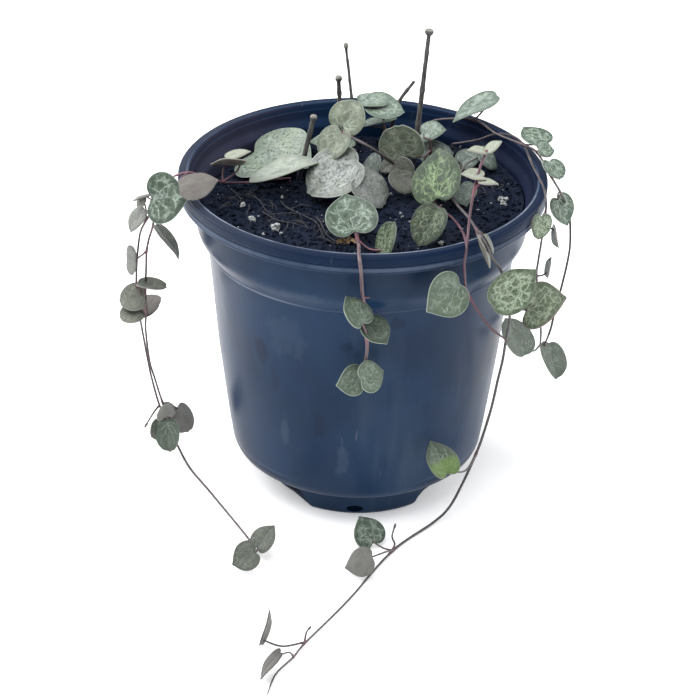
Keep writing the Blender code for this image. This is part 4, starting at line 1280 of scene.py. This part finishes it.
def stemRuns(vine, joints, form):
    radius = vine["radius"]
    runs = []
    for index, strand in enumerate(vine["strands"]):
        if index == 0:
            # the stem stands straight in the soil and bends just above it
            x, y, z = strand[0]
            path = [Vector((x, y, z - form["rootDepth"])), Vector((x, y, z - 3.0)), Vector(strand[0])]
            path += smoothPath([(x, y, z + form["stemRise"])] + strand[1:], form["stemStep"])
        else:
            path = smoothPath(strand, form["stemStep"])
        settle(path, radius, form)
        radii = []
        for k, place in enumerate(path):
            swell = sum(math.exp(-((place - joint).length / form["jointLength"]) ** 2) for joint in joints)
            wander = form["wander"] * noise.noise(place / 6.0)
            thinner = 1.0 - vine.get("thinning", 0.0) * (k / len(path)) ** 4
            radii.append(radius * thinner * (1.0 + wander + form["jointSwell"] * min(1.0, swell)))
        for k in range(1, 5):
            radii[-k] *= 0.5 + 0.12 * k
        runs.append((path, radii))
    return runs


def shootRuns(vine, joints, form):
    shoots = [leafStalk(joint, leaf, form) for joint, leaf in zip(joints, vine["leaves"])]
    for strand, point, targets in vine.get("sideShoots", []):
        path = smoothPath([vine["strands"][strand][point]] + targets, 1.0)
        radii = [0.42 - 0.2 * i / len(path) for i in range(len(path))]
        radii[-3:] = [0.3, 0.48, 0.3]
        shoots.append((path, radii))
    for place, reach in vine.get("spurs", []):
        start, reach = Vector(place), Vector(reach)
        path = smoothPath([start, start + 0.6 * reach, start + reach], 0.6)
        shoots.append((path, [0.42 - 0.36 * i / (len(path) - 1) for i in range(len(path))]))
    return shoots


def buildVine(node, vine, flatHeart, rand, form):
    joints = [Vector(vine["strands"][leaf[7]][leaf[8]]) for leaf in vine["leaves"]]
    stems = tubesAlong(node + "Stems", stemRuns(vine, joints, form), 10)
    stalks = tubesAlong(node + "Stalks", shootRuns(vine, joints, form), 8)
    for thing, skin in zip((stems, stalks), stemSkins[vine["stem"]]):
        thing.data.materials.append(skin)
        paintNodes(thing, joints, form)
    blades = [placeBlade(flatHeart, leaf, rand, form) for leaf in vine["leaves"]]
    plant = joinPieces(vine["piece"], [stems, stalks] + blades)
    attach(plant, "root")
    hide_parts(node)


# leaf: x, y, z, length, where its upper face looks (azimuth from the front, elevation), turn of the tip,
# strand and point that it grows from, look, tone (0.5 is even), and its own shape where it has one;
# the tone is partly the leaf's own lightness and partly painted light and shade for how the leaf is lit
# sideShoots: strand, point and where the shoot goes; spurs: place and reach
vines = {
    "vine_left": {
        "piece": "leftVine", "slot": "stem_brown", "stem": "rose", "radius": 0.38,
        "strands": [
            [(-26, 13.5, 109), (-32.5, 10.5, 111.5), (-39.5, 7, 112), (-49.5, 2.5, 114), (-55, -5, 119.3),
             (-61, -9, 123), (-67.9, -9, 119.6), (-72.5, -8, 109.5), (-76, -7, 103), (-78, -6, 98.5),
             (-79, -5, 93.5), (-80, -4, 84.5), (-80.5, -3, 75), (-80, -2, 64), (-78.5, -1, 51),
             (-77, -1, 40.5), (-76, 0, 33.5), (-73.5, 0, 22.5), (-70, 1, 12), (-66.5, -1, 4.5),
             (-61.5, -9.5, 1.3), (-53, -25, 1.2), (-37.5, -54.5, 1.2), (-34.5, -63.5, 2)],
            [(-72.5, -8, 109.5), (-73.5, -9, 102), (-75, -8, 96.5), (-76, -8, 91.5), (-76.5, -7, 83),
             (-77, -6, 74.5), (-77, -5, 65.5), (-77.5, -4, 57), (-76.5, -3, 43.5), (-75, -3, 37),
             (-72, -2, 24.5), (-69.5, -1, 17.5)],
        ],
        "sideShoots": [(0, 17, [(-75.5, -3, 21), (-78.5, -7, 17)])],
        "leaves": [
            (-26.6, 5.5, 118.4, 25.8, -94.2, 71, 100.8, 0, 2, "cream", 0.85),
            (-47.5, 3, 121.3, 13, 0, 122, 180, 0, 3, "whitish", 1.0),
            (-44.5, 8, 122.5, 10, 70, 110, -65, 0, 3, "whitish", 0.45),
            (-55.5, -27, 127.4, 13.6, 163.5, -65.5, 156, 0, 5, "silver", 0.5, {"fill": 0.7, "broad": 0.9}),
            (-66.4, -25, 121, 17.2, -33, 25, 18, 0, 7, "marbled", 0.2, {"broad": 1.06}),
            (-77.5, -8, 112.5, 6.5, 40, 115, 145, 0, 7, "silver", 0.4),
            (-77.5, -8, 110, 5.5, -65, 35, -75, 0, 8, "silver", 0.5),
            (-79.6, -8, 103.2, 10.6, -70, 40, -80, 0, 8, "silver", 0.25, {"fill": 0.6, "blunt": 0.6}),
            (-68, -10, 96.5, 16.5, -80, 140, 60, 1, 1, "dusk", 0.95, {"broad": 0.92, "blunt": 0.4}),
            (-82, -6, 86.5, 10.4, -62, 10, -155, 1, 3, "silver", 0.1, {"blunt": 0.8}),
            (-73.5, -9, 78, 12, -25, 100, 20, 1, 5, "dusk", 0.45, {"blunt": 1.0, "fill": 0.6}),
            (-82.3, -6, 71, 11.6, -15, 60, -160, 0, 12, "dusk", 0.6, {"blunt": 1.0}),
            (-82.5, -10, 66.5, 10, -15, 70, -150, 0, 13, "dusk", 0.6, {"blunt": 1.0}),
            (-76.5, 1, 64.5, 13.2, -65, -110, -55, 1, 6, "dusk", 0.4, {"blunt": 1.0}),
            (-71.3, -4, 20.8, 9.2, 35, 165, 160, 1, 10, "silver", 0.55, {"under": "greyUnder", "blunt": 1.0}),
            (-65.5, 4, 13.6, 13.2, 55, -140, 100, 1, 10, "dusk", 0.4, {"under": "greyUnder", "blunt": 1.0}),
            (-69.6, -9, 14, 14, -50, 20, -65, 1, 11, "veined", 0.1, {"fill": 0.5, "blunt": 1.0}),
            (-74.6, -2, 12.4, 8.4, 50, 15, -155, 1, 11, "dusk", 0.7, {"blunt": 1.0}),
            (-31.5, -62.5, 7.3, 11, -55, 45, 92, 0, 23, "slate", 0.5),
            (-38.3, -73.5, 6, 10.9, -30, 45, -134, 0, 23, "slate", 0.5),
        ],
    },
    "crown_left": {
        "piece": "sageLeaf", "slot": "stem_pale", "stem": "pale", "radius": 0.6,
        "strands": [[(-41, 33.5, 107.5), (-41, 33, 110)]],
        "leaves": [(-30.2, 26.6, 112.8, 29.8, -65, 70, 30, 0, 1, "sage", 0.5)],
    },
    "vine_front": {
        "piece": "frontVine", "slot": "stem_pink", "stem": "pink", "radius": 0.62,
        "strands": [
            [(-1.5, -22, 110.7), (-1.5, -39.5, 114), (-1, -55, 120), (-1, -63, 122), (-0.5, -70.5, 121.5),
             (0, -67.5, 116), (0.5, -63, 107), (1.5, -61, 99), (2.5, -58, 86.5), (2.5, -57, 79),
             (1, -57, 70.5)],
        ],
        "spurs": [((0.9, -62, 104), (2.2, -0.8, 0.6))],
        "leaves": [
            (-4.2, -32, 120, 17.5, 5, 55, 100, 0, 1, "marbled", 0.48),
            (9, -46.5, 119, 13.8, -70, 20, 98, 0, 1, "streaky", 0.4, {"fill": 1.0, "blunt": 0.8}),
            (-1.5, -66, 101.5, 12, 55, 45, 85, 0, 8, "soft", 0.4),
            (6, -61.5, 91, 11, 35, 55, -75, 0, 8, "soft", 0.15),
            (-3, -60, 70.5, 11.6, 40, 20, 178, 0, 10, "soft", 0.6, {"broad": 0.96}),
            (4.7, -60, 73, 11.8, 45, 30, -3, 0, 10, "soft", 0.7, {"broad": 0.96}),
        ],
    },
    "vine_red": {
        "piece": "redShoot", "slot": "stem_pink", "stem": "wine", "radius": 0.45,
        "strands": [
            [(25, -6, 111), (27, -15, 114), (30.5, -30, 118.5), (33.5, -48, 122.3), (34.5, -60, 122.6),
             (34, -59.5, 117), (34.5, -57, 110.5), (35, -53.5, 105), (36, -51.5, 101), (40, -51.5, 94),
             (44.5, -50, 87), (48, -48, 83), (50.5, -47, 80.5)],
            [(34.5, -60, 122.6), (35.5, -50, 129), (37, -42, 135), (39, -36, 141), (41, -32, 144.5)],
        ],
        "leaves": [
            (36.5, -39, 139, 8.5, 95, 80, 90, 1, 2, "whitish", 0.5),
            (41.5, -42, 138, 7, -10, 100, 10, 1, 2, "whitish", 0.5),
            (38, -31, 144.5, 7, -55, 100, -125, 1, 4, "whitish", 0.55),
            (43.5, -31, 146, 6.5, -80, 55, 100, 1, 4, "whitish", 0.55),
            (27.7, -62, 104.8, 15.8, 25, 15, -150, 0, 8, "soft", 0.5, {"fill": 0.3}),
            (22, -36.5, 117.4, 16.5, -37.3, 39, -94.8, 0, 1, "streaky", 0.0,
             {"blunt": 0.6, "fill": 0.6, "broad": 0.84}),
        ],
    },
    "vine_trailing": {
        "piece": "trailingVine", "slot": "stem_brown", "stem": "brown", "radius": 0.5, "thinning": 0.5,
        "strands": [
            [(30.5, 3, 111.5), (31.5, -9, 115), (36, -35, 121), (38, -49.5, 124), (40.5, -59, 124),
             (43, -56.5, 117.5), (46.5, -54, 111.5), (49.5, -47.5, 100.5), (50.5, -44, 92.5),
             (51.5, -41.5, 85.5), (51, -37, 75), (50.5, -33.5, 64.5), (49.5, -30, 54.5), (48, -28, 42),
             (45.5, -29, 31), (43.2, -29.8, 23.0), (38.5, -34.5, 13), (34, -38.5, 5.5), (28.5, -42, 1.7),
             (13.5, -60, 1.2), (-2, -90.5, 1.2), (-16, -115, 1.2), (-19.5, -122.5, 1.2),
             (-25, -132, 1.2), (-27.5, -143.5, 1.2)],
        ],
        "sideShoots": [(0, 19, [(14.4, -58, 2.6), (13.4, -56, 4.4), (14.6, -51.5, 6.7)]),
                       (0, 21, [(-15.5, -112.5, 3.5), (-14, -110.5, 4.5)])],
        "leaves": [
            (52, -55.5, 105.6, 19.3, 20, 5, 32, 0, 8, "fresh", 0.5, {"broad": 0.86, "fill": 0.7}),
            (62.8, -41.5, 92, 17.6, -50, 45, 45, 0, 8, "bronze", 0.85),
            (40.5, -61, 121.5, 11.3, 95, 25, -120, 0, 3, "silver", 0.55, {"broad": 0.72, "fill": 1.0}),
            (42.5, -55, 121.5, 7, 90, 30, -115, 0, 3, "silver", 0.45, {"broad": 0.75, "fill": 1.0}),
            (35, -7.5, 116.2, 10.5, 0, 65, -75, 0, 1, "seaMarbled", 0.45),
            (29.5, -50, 34, 14.6, 55, 45, 79, 0, 15, "yellowed", 0.25),
            (4.5, -56, 6.6, 12.3, 35, 40, 97, 0, 19, "marbled", 0.2),
            (1.6, -74.5, 5.6, 11, -40, -130, 132, 0, 19, "dusk", -0.1, {"under": "greyUnder", "fill": 0.6}),
            (-28.5, -116, 7.5, 12.5, 75, -10, 55, 0, 21, "umber", 0.3),
            (-27, -133, 5.5, 12, -100, 40, -60, 0, 22, "umber", 0.3),
        ],
    },
    "vine_right_outer": {
        "piece": "rightOuterVine", "slot": "stem_brown", "stem": "brown", "radius": 0.42,
        "strands": [
            [(24, 44, 110.3), (23.5, 46, 118), (28.5, 46, 120.5), (40.5, 43, 121.8), (48, 29, 123),
             (56.5, 17.5, 124.4), (61.5, 11, 124.4), (65.5, -1, 121.7), (70, 3, 113), (74.5, 14, 100.5),
             (75.5, 12, 93.5), (75.5, 10, 85), (73, 4, 74), (71, 0, 67.5), (69.5, -3, 60.5), (67.5, -5, 55)],
        ],
        "leaves": [
            (39.8, 43.5, 126.6, 19, -82.6, 64.4, -82.4, 0, 3, "paleMarbled", 0.4,
             {"fill": 0.8, "broad": 0.76, "taper": -0.5}),
            (60.5, 17.5, 128, 12, 45, 75, 85, 0, 5, "marbled", 0.5),
            (64.5, 9, 126.5, 7.5, 40, 60, -25, 0, 6, "marbled", 0.55),
            (67.5, 1.5, 122, 9.8, 55, 55, -105, 0, 7, "marbled", 0.5, {"blunt": 1.0}),
            (71.8, 7, 103.6, 12.2, 50, 30, -87, 0, 8, "marbled", 0.5),
            (71, -6, 48.4, 15.3, 65, 35, -120, 0, 15, "soft", -0.02, {"blunt": 0.6, "fill": 0.5}),
        ],
    },
    "vine_right_inner": {
        "piece": "rightInnerVine", "slot": "stem_brown", "stem": "brown", "radius": 0.4,
        "strands": [
            [(33, 43, 110.3), (36, 40, 114), (42, 36.5, 117), (49, 32.7, 121.3), (56.5, 27, 121.5),
             (60, 4.5, 121.8), (62.5, -12, 122.2), (63, -22.5, 121.5), (63, -22, 117), (63, -16.5, 108),
             (63, -14, 101.5), (62.5, -12, 92.5), (62.5, -10, 86), (64, -9, 76), (65.5, -9, 63),
             (65.5, -9, 57)],
        ],
        "leaves": [
            (61.3, -28, 114.2, 10, 45, 10, -105, 0, 8, "fresh", 0.5, {"blunt": 0.6}),
            (68, -12, 102.5, 9.8, -80, 8, -25, 0, 9, "silver", 3.0, {"broad": 0.5, "fill": 1.0}),
            (66.5, -10, 90, 7.6, -80, 8, 97, 0, 12, "silver", 3.0, {"broad": 0.75, "fill": 1.0}),
            (55.7, -17, 66.2, 16, 70, 40, 72, 0, 15, "soft", 0.12, {"fill": 0.8, "broad": 1.3, "blunt": 0.6}),
        ],
    },
    "crown_middle": {
        "piece": "crownMiddle", "slot": "stem_brown", "stem": "brown", "radius": 0.5,
        "strands": [[(12.5, 14, 110.5), (12.3, 13.5, 114), (11.5, 11.5, 118), (2.5, 4, 128), (-3, 6.5, 130),
                     (-7.5, 11.5, 130)]],
        "leaves": [
            (-5, 21.5, 132.6, 14.2, -30, 35, 70, 0, 5, "olive", 0.72, {"blunt": 0.6}),
            (-11.2, 10, 125.4, 14.8, -50, 40, -90, 0, 5, "olive", 0.5, {"blunt": 0.6}),
            (15, 2.5, 120.2, 8.8, -25, 25, 0, 0, 2, "dusk", 0.15, {"fill": 0.6, "blunt": 1.0}),
            (14.2, -2.5, 117.2, 10, 40, 50, -110, 0, 2, "dusk", 0.1,
             {"fill": 0.8, "broad": 1.15, "blunt": 1.0}),
            (8.5, 18, 113.8, 6, -35, 50, -120, 0, 1, "dusk", 0.5),
        ],
    },
    "crown_white": {
        "piece": "frostedLeaves", "slot": "stem_pale", "stem": "pale", "radius": 0.6,
        "strands": [[(-4.5, 11, 110), (-4, 13, 114), (-4.5, 17, 117), (-4, 19, 120)]],
        "leaves": [
            (-11.8, -1.5, 118.6, 24.5, -50, 60, -115, 0, 1, "frosted", 0.75, {"blunt": 0.9, "fill": 0.5}),
            (3.8, -7.8, 116.8, 16.8, 55, 50, -68, 0, 1, "frosted", 0.3, {"blunt": 1.0, "fill": 0.5}),
            (-11.5, 34, 115, 18, 90, 80, 90, 0, 3, "sage", 0.5),
            (3.5, 12, 118.2, 11, -65, 25, 120, 0, 2, "seaMarbled", 0.4, {"blunt": 0.8}),
        ],
    },
    "crown_back": {
        "piece": "backLeaves", "slot": "stem_pale", "stem": "pale", "radius": 0.55,
        "strands": [[(8, 45, 110), (7.5, 43, 118), (7, 42, 124)]],
        "leaves": [
            (3.8, 43, 128.6, 13, 20, 92, -15, 0, 2, "paleMarbled", 0.6, {"blunt": 0.6}),
            (8.2, 41, 127.2, 16, 40, 76, -40, 0, 2, "paleMarbled", 0.6, {"blunt": 0.5}),
            (6, 44.5, 120, 13, 50, 110, -50, 0, 1, "paleMarbled", 0.45),
        ],
    },
    "crown_olive": {
        "piece": "oliveLeaves", "slot": "stem_brown", "stem": "brown", "radius": 0.55,
        "strands": [[(24.5, 30, 110.5), (24.5, 29, 116), (24, 27, 121)]],
        "leaves": [
            (13, 15, 126, 16.3, -20, 0, 115, 0, 1, "olive", 0.5, {"blunt": 1.3, "broad": 1.1}),
            (25, 34.5, 121, 10.5, -50, 65, 45, 0, 2, "paleMarbled", 0.5),
            (27, 29, 113.4, 15, -30, 60, 40, 0, 1, "seaMarbled", 0.5, {"blunt": 0.8}),
        ],
    },
    "crown_right": {
        "piece": "limeLeaves", "slot": "stem_brown", "stem": "brown", "radius": 0.55,
        "strands": [[(33.5, 13, 111), (33.5, 8, 114), (31.5, -1, 115.2)]],
        "leaves": [
            (25.9, -6, 123.2, 22.6, -40, 45, 120, 0, 2, "limeMarbled", 0.5, {"broad": 0.84}),
            (38.5, 25, 115, 9.5, -35, 60, 55, 0, 1, "seaMarbled", 0.5),
            (45.5, 21.5, 116.1, 10, 65, 45, -65, 0, 1, "seaMarbled", 0.55),
        ],
    },
}

flatHeart = makeFlatHeart(leafForm)
leafRandom = random.Random(21)
for nodeName, vine in vines.items():
    buildVine(nodeName, vine, flatHeart, leafRandom, leafForm)
bpy.data.objects.remove(flatHeart)
print("vines and crown leaves are made")


# cut stalks

stalks = {
    "dark": (0.038, 0.038, 0.038), "light": (0.135, 0.133, 0.128), "cut": (0.33, 0.31, 0.27),
    "darkTint": (0.012, 0.015, 0.032), "footDarkTop": 120.5, "footDarkBottom": 117.5,
    # depth in the soil, thicker rings along the stalk, and depth of the pale tip with and without a head
    "rootDepth": 8.6, "ringFactor": 1.22, "headTip": 1.4, "plainTip": 0.5,
    # rise and width of the rings that make a rounded head
    "head": ((0.5, 0.8), (1.0, 0.98), (1.6, 1.0), (2.1, 0.9), (2.4, 0.62)),
    # points, radius at the foot and at the top, radius of the head
    "runs": {
        "cut_stalk_tall": ("tallStalk", [(18, 24, 110), (19.5, 24, 129), (22, 24, 162.5)], 1.1, 0.75, 1.6),
        "cut_stalk_back_right": ("backRightStalk", [(9.5, 52.5, 109.5), (12.5, 52.5, 123.3), (18.3, 54, 132)],
                                 0.8, 0.6, 0),
        "cut_stalk_back_mid": ("backMidStalk", [(-3, 46, 109.5), (-4.6, 46, 127.4), (-7, 46, 147.4)],
                               0.65, 0.5, 0.9),
        "cut_stalk_back_left": ("backLeftStalk", [(-8.8, 46, 109.5), (-9, 46, 125), (-9.5, 46, 134.5)],
                                0.9, 0.75, 1.35),
        "cut_stalk_left": ("leftStalk", [(-23.2, 15.5, 108.5), (-21, 15.5, 119), (-18.2, 15.5, 132.5)],
                           0.95, 0.85, 1.25),
    },
}


def makeBark(look, name, dark, light):
    material, tree, shader = newMaterial(name)
    place = objectPlace(tree)
    ridges = noiseAt(tree, stretched(tree, place, (2200.0, 2200.0, 180.0)), 1.0, 3.0, 0.6)
    patch = noiseAt(tree, place, 170.0, 3.0)
    colour = mixColour(tree, fade(tree, ridges, 0.35, 0.68), dark, light)
    colour = mixColour(tree, times(tree, fade(tree, patch, 0.5, 0.75), 0.4), colour, look["dark"])
    # wet peat has stained the foot
    # darker towards the foot, up to the height of the pot's rim
    foot = fade(tree, coordinates(tree, place)[2], look["footDarkTop"], look["footDarkBottom"], 0.0, 0.9)
    colour = mixColour(tree, foot, colour, look["darkTint"])
    finishSkin(tree, shader, colour, timesPlus(tree, ridges, 0.3, 0.6), ridges, 0.22)
    return material


def buildStalks(look):
    bark = makeBark(look, "dryStalk", look["dark"], look["light"])
    pale = makeBark(look, "cutEnd", look["light"], look["cut"])
    for index, (node, (name, points, foot, top, head)) in enumerate(look["runs"].items()):
        x, y, z = points[0]
        path = [Vector((x, y, z - look["rootDepth"])), Vector((x, y, z - 2.0))] + smoothPath(points, 1.5)
        last = len(path) - 1
        radii = [foot + (top - foot) * i / last for i in range(last + 1)]
        for i in range(6, last - 2, 9):
            radii[i] *= look["ringFactor"]
        end = path[-1]
        ahead = (end - path[-2]).normalized()
        for rise, width in look["head"] if head else ():
            path.append(end + rise * ahead)
            radii.append(head * width)
        stalk = tubesAlong(name, [(path, radii)], 12)
        stalk.data.materials.append(bark)
        stalk.data.materials.append(pale)
        tipDepth = look["headTip"] if head else look["plainTip"]
        for polygon in stalk.data.polygons:
            nearTip = (polygon.center - path[-1] * mm).length < tipDepth * mm
            polygon.material_index = 1 if nearTip else 0
        roughen(stalk, 0.12, 0.8, index)
        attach(stalk, "root")
        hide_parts(node)


buildStalks(stalks)
print("cut stalks are made")
